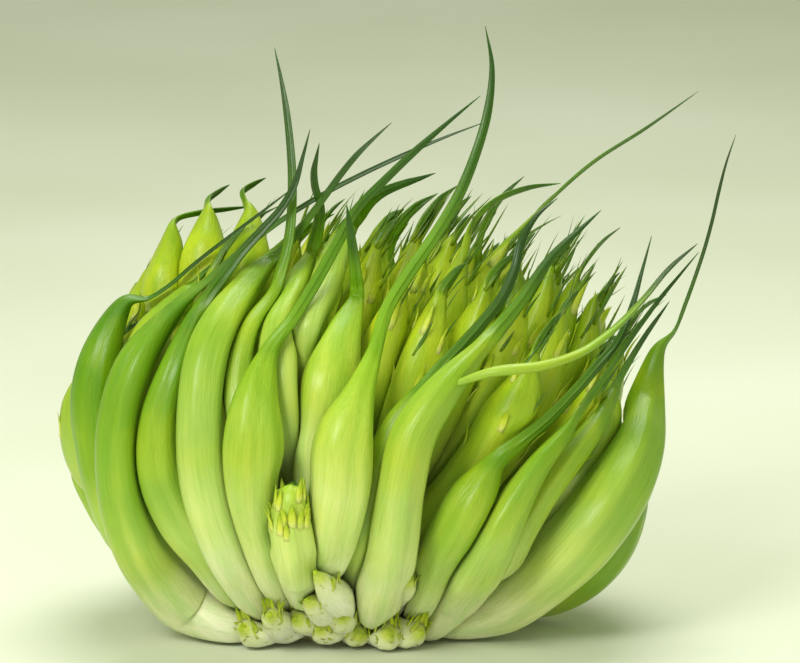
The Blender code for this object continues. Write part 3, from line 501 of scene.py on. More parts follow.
hearts = []
for k in range(HEART_TRIES):
    fall = HEART_SPREAD * math.sqrt(k / HEART_TRIES)
    turn = k * GOLDEN_ANGLE
    level = math.sin(fall)
    away = np.array([level * math.cos(turn), level * math.sin(turn), math.cos(fall)])
    spot = kept_inside(HEAD_MIDDLE + away * HEAD_HALF)
    if len(hearts) < HEART_MOST and all(
        norm(spot - other) > HEART_ROOM for other in taken + hearts
    ):
        hearts.append(spot)
plans += [("heart", f"heart_{k + 1:02d}", neck, HEART_WIDTH, None)
          for k, neck in enumerate(hearts)]


# How the basal buds lie. They are young side shoots that never grew out: short cream knobs round
# the foot of the crown, given by their tips as (across, up, width) in front, and a ring behind.

FRONT_BUDS = [
    (-22, 33.5, 8), (-5, 31, 8.5), (-14, 21.5, 8.5), (-22.5, 17.5, 8), (-37, 19, 8), (-32, 10, 9),
    (-6.5, 6, 8), (2, 12, 9), (7.5, 4, 8), (21, 17.5, 12), (-14, 9.5, 8.5), (14.5, 8, 9),
    (-23, 7, 9), (28.5, 8, 9),
]
BUD_REACH = 36.0
BUD_BEND = 0.35
BUD_LEAN = 1.15
BUD_CLEAR = 1.0
REAR_BUDS = 9
REAR_BUD_FROM = math.radians(8)
REAR_BUD_TO = math.radians(172)
REAR_BUD_WIDTH = 10.0
REAR_BUD_REACH = 37.0
REAR_BUD_UP = (14.0, 7.0)
BUD_KNEE = 4.0
BUD_HIGH = 0.65
BUD_WIDTHS = (0.7, 0.85, 1.0, 0.95, 0.12)

tips = []
for across, up, width in FRONT_BUDS:
    back = -math.sqrt(BUD_REACH**2 - BUD_BEND * across**2) - BUD_LEAN * up
    height = max(height_seen(up, back), width / 2 + BUD_CLEAR)
    tips.append((np.array([across, back, height]), width))
for k in range(REAR_BUDS):
    turn = REAR_BUD_FROM + (REAR_BUD_TO - REAR_BUD_FROM) * k / (REAR_BUDS - 1)
    reach = np.array([math.cos(turn), math.sin(turn)]) * REAR_BUD_REACH
    tips.append((np.array([*reach, REAR_BUD_UP[k % 2]]), REAR_BUD_WIDTH))
plans += [("bud", f"bud_{k + 1:02d}", tip, width, None) for k, (tip, width) in enumerate(tips)]


# The strap. The arched shoot on the right has a second, strap-like leaf that leaves its shoulder,
# bows level across its neighbours and joins the sweep of the others.

STRAP_OF = "right_arched"
STRAP_WIDTH = 4.6
STRAP_FLATNESS = 0.7
STRAP = [(35, 86, -64), (43, 88.5, -69), (56, 90.5, -70), (70, 93, -66), (84, 99, -56),
         (99, 111, -42), (111, 124, -28), (123, 134, -14)]

strap_points = [(x, y, height_seen(z, y)) for x, z, y in STRAP]
strap_widths = np.linspace(STRAP_WIDTH, LEAF_TIP_WIDTH, len(STRAP))
strap = shoot_from("strap", "strap",
                   [(*point, width) for point, width in zip(strap_points, strap_widths)], [],
                   unit(np.subtract(strap_points[1], strap_points[0])))
strap.node = "shoot_" + STRAP_OF


# How they press together. Roots spread over the crown until none crowds another, each shoot grows
# from its own, and the paths then bend clear of each other until the bodies only just touch. Four
# may pass the head's outline: three that stand out at the upper left, and the strap.

OWN_INSETS = {"upper_16": -6.0, "upper_17": -6.0, "upper_18": -2.0, "strap": -30.0}
ROOT_LIFTS = {
    "front": (0.42, 1), "low": (0.12, 1), "upper": (0.5, 1), "rear": (0.25, 1),
    "heart": (0.6, 1), "bud": (0.0, 0.3),
}
LOW_FROM = 22.0
ROOT_CROWDING = 0.98
ROOT_NUDGE = 0.01
ROOT_ROUNDS = 200
ROOT_PUSH = 0.3
SUNK = 3.0
GROUND_GAP = 0.7
SETTLE_ROUNDS = 180
SETTLE_SAMPLES = 3
PRESSED = 0.86
LEAF_ROOM = 1.5
LEAF_STIFFNESS = 0.85
FRONT_FREEDOM = (0.3, 1.0, 0.3)
FOOT_FREEDOM = 0.6
PUSH = 0.72
EASE = 0.25
LAST_EASE = 0.05
EASED_SHARE = 0.8
LOOK_EVERY = 6
LOOK_ROOM = 8.0
GROUND_SHARE = 0.8
FAR = 1000.0


def spread_roots(toward, lifts):
    """Where each shoot starts on the crown, as spots on a unit ball that the crown's halves
    stretch: first straight toward where the shoot goes, then pushed apart until none crowds
    another, each kept between its two lifts."""
    way = unit(toward - CROWN_MIDDLE)
    turn = np.arange(len(way)) * GOLDEN_ANGLE
    way[:, :2] += ROOT_NUDGE * np.column_stack([np.cos(turn), np.sin(turn)])
    spots = unit(way)
    room = math.sqrt(math.tau / len(spots)) * ROOT_CROWDING
    for _ in range(ROOT_ROUNDS):
        between = spots[:, None] - spots[None]
        far = np.maximum(norm(between, axis=2), 0.001) + np.eye(len(spots)) * FAR
        push = np.maximum(room - far, 0) / far
        spots = unit(spots + ROOT_PUSH * (between * push[:, :, None]).sum(axis=1))
        spots[:, 2] = np.clip(spots[:, 2], lifts[:, 0], lifts[:, 1])
        spots[:, :2] = unit(spots[:, :2]) * np.sqrt(1 - spots[:, 2:] ** 2)
    return spots


def inset_of(kind, name):
    """How far inside the head's outline a shoot's path stays."""
    return OWN_INSETS.get(name, REAR_INSET if kind == "rear" else PATH_INSET)


def grown(plan, spot, chance):
    """The shoot or bud of one plan, from its spot on the crown."""
    kind, name, toward, width, leaf = plan
    way = unit(spot / CROWN_HALF)
    root = CROWN_MIDDLE + CROWN_HALF * spot
    start = root + way * ROOT_GAP
    if kind == "front":
        foot = [(*start, ROOT_WIDTH), (*(start + way * ROOT_RISE), ROOT_WIDTH)]
        return shoot_from(name, kind, foot + width, leaf, way)
    if kind == "bud":
        knee = root + way * BUD_KNEE
        line = (root - way * SUNK, root, knee, knee + (toward - knee) * BUD_HIGH, toward)
        body = [(*point, width * share) for point, share in zip(line, BUD_WIDTHS)]
        return shoot_from(name, kind, body, [], way)
    if kind == "heart":
        start = root - way * SUNK
    rising = unit(RISING)
    if leaf:
        rising = unit(rising + unit(np.subtract(leaf[0], toward)))
    bulge, widths = UPPER_BULGE, SHORT_WIDTHS
    if kind == "rear":
        rising = unit(RISING - REAR_LEAN_IN * unit((toward - HEAD_MIDDLE) * [1, 1, 0]))
        bulge, widths = REAR_BULGE, REAR_WIDTHS
    body = free_body(toward, width, start, way, bulge, rising, widths, inset_of(kind, name))
    return shoot_from(name, kind, body, leaf or blown_leaf(toward, rising, kind, chance), way)


def settle(shoots):
    """Bends the paths clear of each other. Where samples of two paths come closer than their
    half-widths allow, the points beside them are pushed apart, and each path's shifts are then
    eased along it. A front shoot's body moves mostly in depth, and a root not at all."""
    lengths = [len(shoot.path) for shoot in shoots]
    owner = np.repeat(np.arange(len(shoots)), lengths)
    place = np.concatenate([np.arange(length) for length in lengths])
    kind = np.array([shoot.kind for shoot in shoots])[owner]
    in_leaf = place > np.array([shoot.neck for shoot in shoots])[owner]
    first = place == 0
    last = np.roll(first, -1)
    inner = np.flatnonzero(~first & ~last)
    tips = np.flatnonzero(last)

    freedom = np.ones((len(owner), 3))
    freedom[(kind == "front") & ~in_leaf] = FRONT_FREEDOM
    freedom[place == 1] *= FOOT_FREEDOM
    freedom[first] = 0
    held_in = ~in_leaf & ~first & ~np.isin(kind, ("bud", "front"))
    inset = np.array([inset_of(shoot.kind, shoot.name) for shoot in shoots])
    inset = inset[owner][held_in, None]

    half = np.vstack([shoot.half for shoot in shoots])
    radius = np.where(in_leaf, half[:, 0] * LEAF_STIFFNESS, np.sqrt(half.prod(axis=1)))
    low = np.append(np.repeat(np.flatnonzero(~last), SETTLE_SAMPLES), tips - 1)
    share = np.append(np.tile(np.arange(SETTLE_SAMPLES) / SETTLE_SAMPLES, (~last).sum()),
                      np.ones(len(tips)))
    sample_radius = radius[low] * (1 - share) + radius[low + 1] * share
    sample_leaf = in_leaf[low] | (in_leaf[low + 1] & (share > 0.5))
    weight = np.bincount(low, 1 - share, len(owner)) + np.bincount(low + 1, share, len(owner))
    _, node = np.unique([shoot.node for shoot in shoots], return_inverse=True)
    node = node[owner[low]]

    start = np.vstack([shoot.path for shoot in shoots])
    points = start.copy()
    for turn in range(SETTLE_ROUNDS):
        samples = points[low] * (1 - share[:, None]) + points[low + 1] * share[:, None]
        if turn % LOOK_EVERY == 0:
            square = (samples**2).sum(axis=1)
            apart = square[:, None] + square[None] - 2 * samples @ samples.T
            reach = sample_radius[:, None] + sample_radius[None] + LOOK_ROOM
            a, b = np.nonzero((apart < reach**2) & (node[:, None] != node[None]))
            leafy = sample_leaf[a] | sample_leaf[b]
            room = sample_radius[a] + sample_radius[b]
            room = np.where(leafy, room + LEAF_ROOM, room * PRESSED)
        between = samples[a] - samples[b]
        distance = norm(between, axis=1) + 1e-6
        push = np.maximum(room - distance, 0) / distance
        crowd = np.maximum(np.bincount(a[push > 0], minlength=len(low)), 1)
        moves = np.column_stack([
            np.bincount(a, between[:, axis] * push, len(low)) for axis in range(3)
        ]) / np.sqrt(crowd)[:, None]
        step = np.column_stack([
            np.bincount(low, moves[:, axis] * (1 - share), len(owner))
            + np.bincount(low + 1, moves[:, axis] * share, len(owner)) for axis in range(3)
        ]) / np.maximum(weight, 1)[:, None]
        shift = points + freedom * step * PUSH - start
        ease = EASE if turn < SETTLE_ROUNDS * EASED_SHARE else LAST_EASE
        eased = shift.copy()
        eased[inner] += ease * ((shift[inner - 1] + shift[inner + 1]) / 2 - shift[inner])
        eased[tips] += ease * (shift[tips - 1] - shift[tips])
        points = start + np.where(freedom > 0, eased, 0)
        points[held_in] = kept_inside(points[held_in], inset)
        lowest = np.where(first, -FAR, radius * GROUND_SHARE + GROUND_GAP)
        points[:, 2] = np.maximum(points[:, 2], lowest)
    for k, shoot in enumerate(shoots):
        shoot.path = points[owner == k]


chance = random.Random(11)
lifts = [ROOT_LIFTS["low" if plan[0] == "front" and abs(plan[2][0]) > LOW_FROM else plan[0]]
         for plan in plans]
spots = spread_roots(np.array([plan[2] for plan in plans]), np.array(lifts, float))
shoots = [grown(plan, spot, chance) for plan, spot in zip(plans, spots)]
for shoot in shoots:
    if shoot.kind in ("heart", "bud"):
        shoot.node = "crown"
shoots.append(strap)
settle(shoots)
arched = next(shoot for shoot in shoots if shoot.name == STRAP_OF)
shoulder = np.argmin(norm(arched.path - strap.path[0], axis=1))
strap.path[0] = arched.path[shoulder]


# The stalks' flesh. Each stalk is a thin, hollow wall of crisp, waxy flesh, cream where it was
# shaded at the foot and green where it saw light. Where two stalks press on each other both are
# flat, and faint ribs run up each one into the midrib of its leaf.

FINE_STEPS = 8
FINE_LEAST_HALF = 0.3
LEVEL_LIMIT = 0.2
CLOSE_GAP = 0.3
LEAST_ROOM = 0.25
MEETING_SHARES = (0.3, 0.7)
SHARPNESS = 8
NEAR = 14.0
FACING = 0.02
BODY_SWELL = {"front": 0.2, "upper": 0.35, "rear": 0.3, "heart": 0.35, "bud": 0.35, "strap": 0.0}
STALK_SIDES = {"front": 40, "upper": 28, "rear": 36, "heart": 24, "bud": 24, "strap": 16}
RIB_COUNTS = (4, 7, 11)
RIB_HEIGHTS = (0.045, 0.026, 0.01)
RIB_RISE = 4
RIB_LEAST = 0.3
BODY_WAVE = 0.05
BODY_WAVES = 12
WAVE_SHIFTS = (0, 6.3)
# Four stalks stand out in the photo, and are made fuller than their solids.
FULLER = {"strap": 1.4, "upper_16": 1.3, "upper_17": 1.3, "upper_18": 1.25}
BLADE_EASE = 1.5
BLADE_WIDER = 0.3
BLADE_THINNER = 0.45
BLADE_POINT = 0.25
BLADE_LEAST = 0.02
BLADE_FOLD = 0.35
STRAP_GREEN = 0.5
STRAP_EASE = 0.3
STRAP_ROOT = 5
STRAP_LEAST = 0.05
STRAP_SHADES = (0.66, 0.25)
STUB_YOUNGER = 0.78
GRAIN_RUN = 0.07
GRAIN_SHIFTS = (0, 400)
FIBRE_NOISE = (1.5, 4.0)
FIBRE_SHADES = [(0.3, (0.84, 0.88, 0.74)), (0.7, (1.0, 1.0, 1.0))]
FIBRE_SHARE = 0.6
STREAK_NOISE = (0.22, 2.0)
STREAKED = (0.38, 0.68)
GREENER = (0.5, 0.76, 0.35)
CLOUD_NOISE = (45.0, 2.0)
CLOUDED = (0.45, 0.75)
CLOUD_YELLOW = (0.56, 0.62, 0.02)
WAXY = {
    "Subsurface Weight": 0.22, "Subsurface Radius": (0.7, 1.0, 0.25), "Subsurface Scale": 0.003,
    "Specular IOR Level": 0.3, "Coat Weight": 0.1, "Coat Roughness": 0.22,
}


def carried_frame(path, first_way):
    """Across and out at each point of a path. Across starts level and is carried up the path with
    no twist, and out is square to it and to the path."""
    ways = np.gradient(path, axis=0)
    ways[0] = first_way
    ways = unit(ways)
    level = np.cross([0, 0, 1], ways[0])
    if norm(level) < LEVEL_LIMIT:
        level = np.array([1.0, 0.0, 0.0])
    across = [unit(level - ways[0] * (level @ ways[0]))]
    for way in ways[1:]:
        across.append(unit(across[-1] - way * (across[-1] @ way)))
    across = np.array(across)
    return across, np.cross(ways, across)


def until(gap, toward):
    """How far a ray goes before it closes a gap, if it faces it at all."""
    return np.where(toward > FACING, gap / np.maximum(toward, FACING), FAR)


def room_round(middle, ray, radius, others, other_radius, on_crown):
    """How far each ray may reach before it meets the plane between its shoot and a neighbour, the
    ground, or the plane that touches the crown below it. The plane between radii r and q that lie
    d apart is (1/2 + (r^2 - q^2) / 2d^2) of the way across."""
    limit = np.full(ray.shape[:2], FAR)
    for k in range(len(middle)):
        between = others - middle[k]
        distance = norm(between, axis=1)
        near = distance < radius[k] + other_radius + NEAR
        between, distance = between[near], distance[near]
        share = 0.5 + (radius[k] ** 2 - other_radius[near] ** 2) / (2 * distance**2)
        plane = distance * np.clip(share, *MEETING_SHARES) - CLOSE_GAP / 2
        toward = ray[k] @ (between / distance[:, None]).T
        limit[k] = until(plane, toward).min(axis=1, initial=FAR)
    limit = np.minimum(limit, until(middle[:, 2:] - GROUND_GAP, -ray[:, :, 2]))
    if not on_crown:
        spot = unit((middle - CROWN_MIDDLE) / CROWN_HALF)
        square = unit(spot / CROWN_HALF)
        clear = ((middle - CROWN_MIDDLE - CROWN_HALF * spot) * square).sum(axis=1)
        limit = np.minimum(limit, until(clear[:, None], -(ray * square[:, None]).sum(axis=2)))
    return np.maximum(limit, LEAST_ROOM)


def stalk(shoot, others, other_radius, chance):
    """A stalk's rings, and its marks. At a turn a its radius is the soft lesser of the room there
    and the oval (cos^2 a / w^2 + sin^2 a / h^2)^-1/2, ribbed by waves of a. Past the neck the oval
    flattens to a blade with a point, folded a little along its midrib."""
    fine = shoot.fine
    path, half = fine[:, :3], fine[:, 3:].copy()
    neck = shoot.neck * FINE_STEPS
    row = np.arange(len(path))
    along = np.clip(row / neck, 0, 1)
    blade = np.clip((row - neck) / max(len(path) - 1 - neck, 1), 0, 1)
    leafy = np.clip((row - neck) / (BLADE_EASE * FINE_STEPS), 0, 1)
    if shoot.kind == "strap":
        blade = np.clip((along - STRAP_GREEN) / (1 - STRAP_GREEN), 0, 1)
        leafy = np.clip((along - STRAP_GREEN) / STRAP_EASE, 0, 1)
        half *= np.sqrt(np.clip(along * STRAP_ROOT, STRAP_LEAST, 1))[:, None]
        along = STRAP_SHADES[0] + along * STRAP_SHADES[1]
    half *= np.sqrt(np.clip((1 - blade) / BLADE_POINT, BLADE_LEAST, 1))[:, None]
    half[:, 0] *= 1 + BLADE_WIDER * leafy
    half[:, 1] *= 1 - BLADE_THINNER * leafy
    across, out = carried_frame(path, shoot.way)
    sides = STALK_SIDES[shoot.kind]
    turn = np.arange(sides) * math.tau / sides
    ray = across[:, None] * np.cos(turn)[:, None] + out[:, None] * np.sin(turn)[:, None]
    swell = 1 + BODY_SWELL[shoot.kind] * np.sin(math.pi * along)
    shift = chance.uniform(*WAVE_SHIFTS)
    swell *= 1 + BODY_WAVE * (1 - leafy) * np.sin(BODY_WAVES * along + shift)
    own = swell[:, None] / np.hypot(np.cos(turn) / half[:, :1], np.sin(turn) / half[:, 1:])
    ribs = sum(height * np.cos(count * turn + chance.uniform(*WAVE_SHIFTS) + along[:, None])
               for count, height in zip(RIB_COUNTS, RIB_HEIGHTS))
    own *= 1 + ribs * (1 - leafy[:, None]) * np.clip(along[:, None] * RIB_RISE, RIB_LEAST, 1)
    on_crown = shoot.node == "crown"
    room = room_round(path, ray, np.sqrt(half.prod(axis=1)), others, other_radius, on_crown)
    met = (own**-SHARPNESS + room**-SHARPNESS) ** (-1 / SHARPNESS)
    met[1:-1] = (met[:-2] + 2 * met[1:-1] + met[2:]) / 4
    rings = path[:, None] + ray * met[:, :, None]
    fold = (np.cos(turn) ** 2 - 0.5) * half[:, :1] * BLADE_FOLD * leafy[:, None]
    rings += out[:, None] * fold[:, :, None]
    run = np.concatenate([[0], np.cumsum(norm(np.diff(path, axis=0), axis=1))])
    wide = np.ones(sides)
    grain = np.stack([np.cos(turn) * own, np.sin(turn) * own, run[:, None] * GRAIN_RUN * wide], axis=2)
    grain += [chance.uniform(*GRAIN_SHIFTS), 0, 0]
    return rings, {"along": along[:, None] * wide, "blade": blade[:, None] * wide, "grain": grain,
                   "leafy": leafy[:, None] * wide}


def flesh_material(name, green, pale, leaf, pale_leaf, yellow=0.4, streaks=0.5):
    """Waxy flesh. Its colour runs up the body through one of two ramps, mixed by how pale the
    stalk is, and on into one of two for the leaf. Fibres run lengthwise, with broad, greener
    streaks, and clouds of yellow lie on it."""
    material, tree, shader = blank(name)

    def mark(of, socket="Fac"):
        node = tree.nodes.new("ShaderNodeAttribute")
        node.attribute_name = of
        return node.outputs[socket]

    def either(of, first, second):
        shades = [ramp(tree, mark(of), stops) for stops in (first, second)]
        return mixed(tree, mark("pale"), *shades)

    place = tree.nodes.new("ShaderNodeTexCoord").outputs["Object"]
    grain = mark("grain", "Vector")
    fibre = noise(tree, grain, *FIBRE_NOISE)
    broad = stretched(tree, noise(tree, grain, *STREAK_NOISE), *STREAKED, 0.0, streaks)
    cloud = stretched(tree, noise(tree, place, *CLOUD_NOISE), *CLOUDED, 0.0, yellow)
    body = mixed(tree, cloud, either("along", green, pale), CLOUD_YELLOW)
    body = mixed(tree, broad, body, mixed(tree, 1.0, body, GREENER, "MULTIPLY"))
    colour = mixed(tree, mark("leafy"), body, either("blade", leaf, pale_leaf))
    colour = mixed(tree, FIBRE_SHARE, colour, ramp(tree, fibre, FIBRE_SHADES), "MULTIPLY")
    skinned(tree, shader, colour, fibre, rough=(0.27, 0.42), distance=0.0002, values=WAXY)
    return material


for shoot in shoots:
    shoot.fine = smooth_curve(np.hstack([shoot.path, shoot.half]), FINE_STEPS)
    fuller = FULLER.get(shoot.name, 1.0)
    shoot.fine[:, 3:] = np.maximum(shoot.fine[:, 3:], FINE_LEAST_HALF) * fuller
    shoot.radius = np.sqrt(shoot.fine[:, 3] * shoot.fine[:, 4])


def stalk_of(shoot, paleness, chance):
    """The rings and marks of one shoot, pressed by every shoot of another node."""
    apart = [other for other in shoots if other.node != shoot.node]
    others = np.vstack([other.fine[:, :3] for other in apart])
    other_radius = np.concatenate([other.radius for other in apart])
    rings, marks = stalk(shoot, others, other_radius, chance)
    marks["pale"] = np.full(rings.shape[:2], paleness)
    if shoot.name == "front_stub":
        marks["along"] *= STUB_YOUNGER
    shoot.rings = rings
    return rings, marks


def finished(name, parts, material, slot, *replaced):
    """One piece of the stalks in parts, which all have the same number of rings and sides."""
    marks = {mark: np.stack([part[1][mark] for part in parts]) for mark in parts[0][1]}
    obj = shells(name, np.stack([part[0] for part in parts]), **marks)
    dressed(obj, material, slot, *replaced)


def each_stalk(kind, paleness, material):
    """A piece for each stalk of a kind. Its paleness is asked for by its name."""
    for shoot in shoots:
        if shoot.kind == kind:
            part = stalk_of(shoot, paleness(shoot.name), chance)
            finished("stalk_" + shoot.name, [part], material, kind + "_flesh", shoot.node)


# The front stalks. Those in the middle were shaded as they grew and stayed pale, and those at the
# sides are greener and darker. That darkness is painted shade: the green ramp is darkened, and the
# outermost stalks get the least paleness, for the light that falls off at the head's sides. Their
# leaves are long, narrow and dark.

# Paleness per stalk. The low values at the sides are partly the stalks' own green and partly painted
# shade, because they take the darkened green ramp.
FRONT_PALENESS_AND_SHADE = {
    "left_rim": 0.0, "left_long": 0.15, "left_hollow": 0.15, "left_arched": 0.35,
    "left_inner": 0.65, "left_thin": 0.5, "front_stub": 1.0, "front_back_left": 0.6,
    "front_finger": 0.5, "front_tall": 0.85, "front_pale": 0.9, "front_slim": 0.25,
    "right_arched": 0.55, "right_spear": 0.55, "right_long": 0.45, "right_thin": 0.3,
    "right_broad": 0.2, "left_low": 0.2, "right_low": 0.1, "right_rim": 0.1,
}
# The green body ramp is darkened past the stalks' own green as painted shade for the outer and rear
# stalks. Its cream foot is their own colour.
GREEN_BODY_WITH_PAINTED_SHADE = [(0.0, (0.94, 0.92, 0.82)), (0.28, (0.85, 0.86, 0.54)), (0.44, (0.54, 0.67, 0.14)),
              (0.6, (0.25, 0.44, 0.012)), (0.84, (0.15, 0.33, 0.005)), (1.0, (0.085, 0.22, 0.004))]
PALE_BODY = [(0.0, (0.94, 0.93, 0.84)), (0.34, (0.89, 0.9, 0.62)), (0.56, (0.72, 0.8, 0.28)),
             (0.78, (0.52, 0.66, 0.075)), (0.94, (0.34, 0.53, 0.02)), (1.0, (0.23, 0.42, 0.01))]
LONG_LEAF = [(0.0, (0.1, 0.25, 0.006)), (0.15, (0.042, 0.13, 0.005)), (0.5, (0.02, 0.062, 0.004)),
             (1.0, (0.015, 0.045, 0.004))]
PALE_LEAF = [(0.0, (0.23, 0.42, 0.01)), (0.3, (0.15, 0.32, 0.008)), (0.6, (0.045, 0.13, 0.005)),
             (1.0, (0.016, 0.05, 0.004))]

STRAP_PALENESS = 0.3

chance = random.Random(5)
front_flesh = flesh_material("front_stalk_flesh", GREEN_BODY_WITH_PAINTED_SHADE, PALE_BODY, LONG_LEAF, PALE_LEAF)
each_stalk("front", FRONT_PALENESS_AND_SHADE.get, front_flesh)
part = stalk_of(strap, STRAP_PALENESS, chance)
finished("leaf_strap", [part], front_flesh, "front_flesh", strap.node)


# The upper stalks. They are younger shoots of the same crisp flesh, packed behind the front row
# and pressed flat by it. They are yellower toward their tips, and end in short leaves.

UPPER_GREEN = [(0.0, (0.84, 0.84, 0.4)), (0.3, (0.58, 0.72, 0.11)), (0.6, (0.4, 0.61, 0.024)),
               (0.85, (0.32, 0.5, 0.01)), (1.0, (0.18, 0.33, 0.006))]
UPPER_PALE = [(0.0, (0.86, 0.85, 0.46)), (0.4, (0.72, 0.79, 0.18)), (0.7, (0.6, 0.72, 0.055)),
              (0.9, (0.52, 0.63, 0.018)), (1.0, (0.34, 0.46, 0.01))]
SHORT_LEAF = [(0.0, (0.24, 0.38, 0.008)), (0.3, (0.1, 0.22, 0.006)), (1.0, (0.03, 0.085, 0.005))]
UPPER_PALENESS = (0.2, 1.0)

upper_flesh = flesh_material("upper_stalk_flesh", UPPER_GREEN, UPPER_PALE, SHORT_LEAF, SHORT_LEAF)
each_stalk("upper", lambda name: chance.uniform(*UPPER_PALENESS), upper_flesh)


# The rear stalks. They are full shoots of the same waxy flesh that grow out of the crown and close
# the head's back and sides. They are green from lower down than the pale ones in front.

REAR_PALENESS = (0.1, 0.7)

# The rear stalks take the green ramp that is darkened with painted shade.
rear_flesh = flesh_material("rear_stalk_flesh", GREEN_BODY_WITH_PAINTED_SHADE, PALE_BODY, SHORT_LEAF, PALE_LEAF)
each_stalk("rear", lambda name: chance.uniform(*REAR_PALENESS), rear_flesh)


# The heart stalks. They are the youngest, crowded at the top of the head, and grow out of the
# crown in one tuft, yellow green with olive tips.

heart_stalks = [stalk_of(shoot, chance.uniform(*UPPER_PALENESS), chance)
                for shoot in shoots if shoot.kind == "heart"]
finished("heart_stalks", heart_stalks, upper_flesh, "crown_flesh", "crown")


# The basal buds. They are side shoots that never grew out: plump knobs of firm, cream flesh with
# lime tips, grown from the foot of the crown. The next section puts ragged scales round them.

BUD_BODY = [(0.0, (0.94, 0.9, 0.78)), (0.62, (0.95, 0.94, 0.8)), (0.84, (0.9, 0.9, 0.58)),
            (0.94, (0.7, 0.76, 0.14)), (1.0, (0.45, 0.56, 0.03))]
BUD_YELLOW = 0.12
BUD_STREAKS = 0.15
HALF_PALE = 0.5

bud_flesh = flesh_material("bud_flesh", BUD_BODY, BUD_BODY, SHORT_LEAF, SHORT_LEAF,
                           BUD_YELLOW, BUD_STREAKS)
buds = [shoot for shoot in shoots if shoot.kind == "bud"]
parts = [stalk_of(shoot, HALF_PALE, chance) for shoot in buds]
finished("basal_buds", parts, bud_flesh, "crown_flesh", "crown")


# Scales and needles. A tuft of small, pointed scale leaves sits at each bud's tip, round the top
# of the short front shoot, and below the neck of each young stalk.

SCALE_RINGS = 6
SCALE_SIDES = 6
SCALE_FOOT = 0.55
SCALE_LEAST = 0.04
SCALE_CUP = 0.25
SCALE_LIFT = 0.2
SCALE_GRAIN = 0.3
COLUMN_SHIFTS = (0, 0.8)
ROWS_AHEAD = 5
SUNK_IN = 0.2
TILT_OUT = 0.12


def scales(name, spots, spans, chance, material, slot, *replaced):
    """Small pointed leaves in one piece, at spots of (root, way, out), with lengths, widths and
    curls drawn from three spans. Along each, at a share s, the middle is root + way * length * s
    + out * curl * length * s^2, and the half-width is width (foot + s)(1 - s). Its inner side is
    hollow, so that it cups what it grows on."""
    roots, ways, outs = (np.array(column) for column in zip(*spots))
    lengths, widths, curls = np.array([[chance.uniform(*span) for _ in spots] for span in spans])
    s = np.linspace(0, 1, SCALE_RINGS)
    turn = np.arange(SCALE_SIDES) * math.tau / SCALE_SIDES
    side = unit(np.cross(ways, outs))
    middle = roots[:, None] + ways[:, None] * (lengths[:, None] * s)[:, :, None]
    middle += outs[:, None] * (s**2 * (curls * lengths)[:, None])[:, :, None]
    half = widths[:, None] * np.maximum((SCALE_FOOT + s) * (1 - s), SCALE_LEAST)
    wide = half[:, :, None] * np.cos(turn)
    cup = SCALE_CUP * np.sin(turn) - SCALE_CUP * np.cos(turn) ** 2
    thick = half[:, :, None] * cup + SCALE_LIFT
    rings = middle[:, :, None] + side[:, None, None] * wide[..., None]
    rings += outs[:, None, None] * thick[..., None]
    along = np.broadcast_to(s[None, :, None], rings.shape[:3])
    grain = np.stack([wide, thick, along * SCALE_GRAIN], axis=3)
    grain += np.arange(len(roots))[:, None, None, None]
    pale = np.full(rings.shape[:3], HALF_PALE)
    obj = shells(name, rings, along=along, blade=along, leafy=along, grain=grain, pale=pale)
    dressed(obj, material, slot, *replaced)


def on_skin(shoot, count, low, high, pull, chance):
    """Spots for scales on a stalk's skin, round it and between two shares of its body. Each way
    follows the skin toward the neck, turned by a pull."""
    rings = shoot.rings
    neck = shoot.neck * FINE_STEPS
    spots = []
    for k in range(count):
        row = min(int(neck * chance.uniform(low, high)), len(rings) - ROWS_AHEAD - 1)
        share = (k + chance.uniform(*COLUMN_SHIFTS)) / count
        column = int(share * rings.shape[1]) % rings.shape[1]
        root = rings[row, column]
        out = unit(root - shoot.fine[row, :3])
        way = unit(rings[row + ROWS_AHEAD, column] - root)
        spots.append((root - out * SUNK_IN, unit(way + TILT_OUT * out + pull), out))
    return spots


SCALE_GREEN = [(0.0, (0.82, 0.84, 0.26)), (0.4, (0.66, 0.74, 0.06)), (0.75, (0.42, 0.55, 0.014)),
               (1.0, (0.17, 0.29, 0.008))]
NEEDLE_GREEN = [(0.0, (0.22, 0.36, 0.01)), (0.4, (0.06, 0.16, 0.006)), (1.0, (0.024, 0.075, 0.005))]
scale_flesh = flesh_material("scale_green", *[SCALE_GREEN] * 4)
needle_flesh = flesh_material("needle_green", *[NEEDLE_GREEN] * 4)

# A tuft's count, two shares of the body and pull, then its spans of length, width and curl.
BUD_TUFT = (16, 0.66, 0.9, np.array([0, 0.1, 0.9]))
STUB_PULL = np.array([0, -0.12, 0.25])
STUB_TUFTS = ((12, 0.8, 0.9, STUB_PULL), (14, 0.9, 1.0, STUB_PULL))
YOUNG_TUFT = (9, 0.55, 0.97, 0.15 * unit(SWEEP))
NEEDLE_TUFT = (7, 0.84, 1.12, 0.7 * unit(SWEEP))

BUD_SCALE = ((4.5, 7.5), (1.2, 2.0), (0.0, 0.5))
STUB_SCALE = ((6.0, 10.0), (1.8, 2.8), (-0.1, 0.4))
YOUNG_LEAF = ((7.0, 13.0), (1.4, 2.6), (0.05, 0.4))
NEEDLE = ((8.0, 22.0), (0.8, 1.4), (-0.1, 0.25))

spots = [spot for shoot in buds for spot in on_skin(shoot, *BUD_TUFT, chance)]
scales("bud_scales", spots, BUD_SCALE, chance, scale_flesh, "crown_flesh", "crown")

stub = next(shoot for shoot in shoots if shoot.name == "front_stub")
spots = [spot for tuft in STUB_TUFTS for spot in on_skin(stub, *tuft, chance)]
scales("stub_scales", spots, STUB_SCALE, chance, scale_flesh, "front_flesh", stub.node)

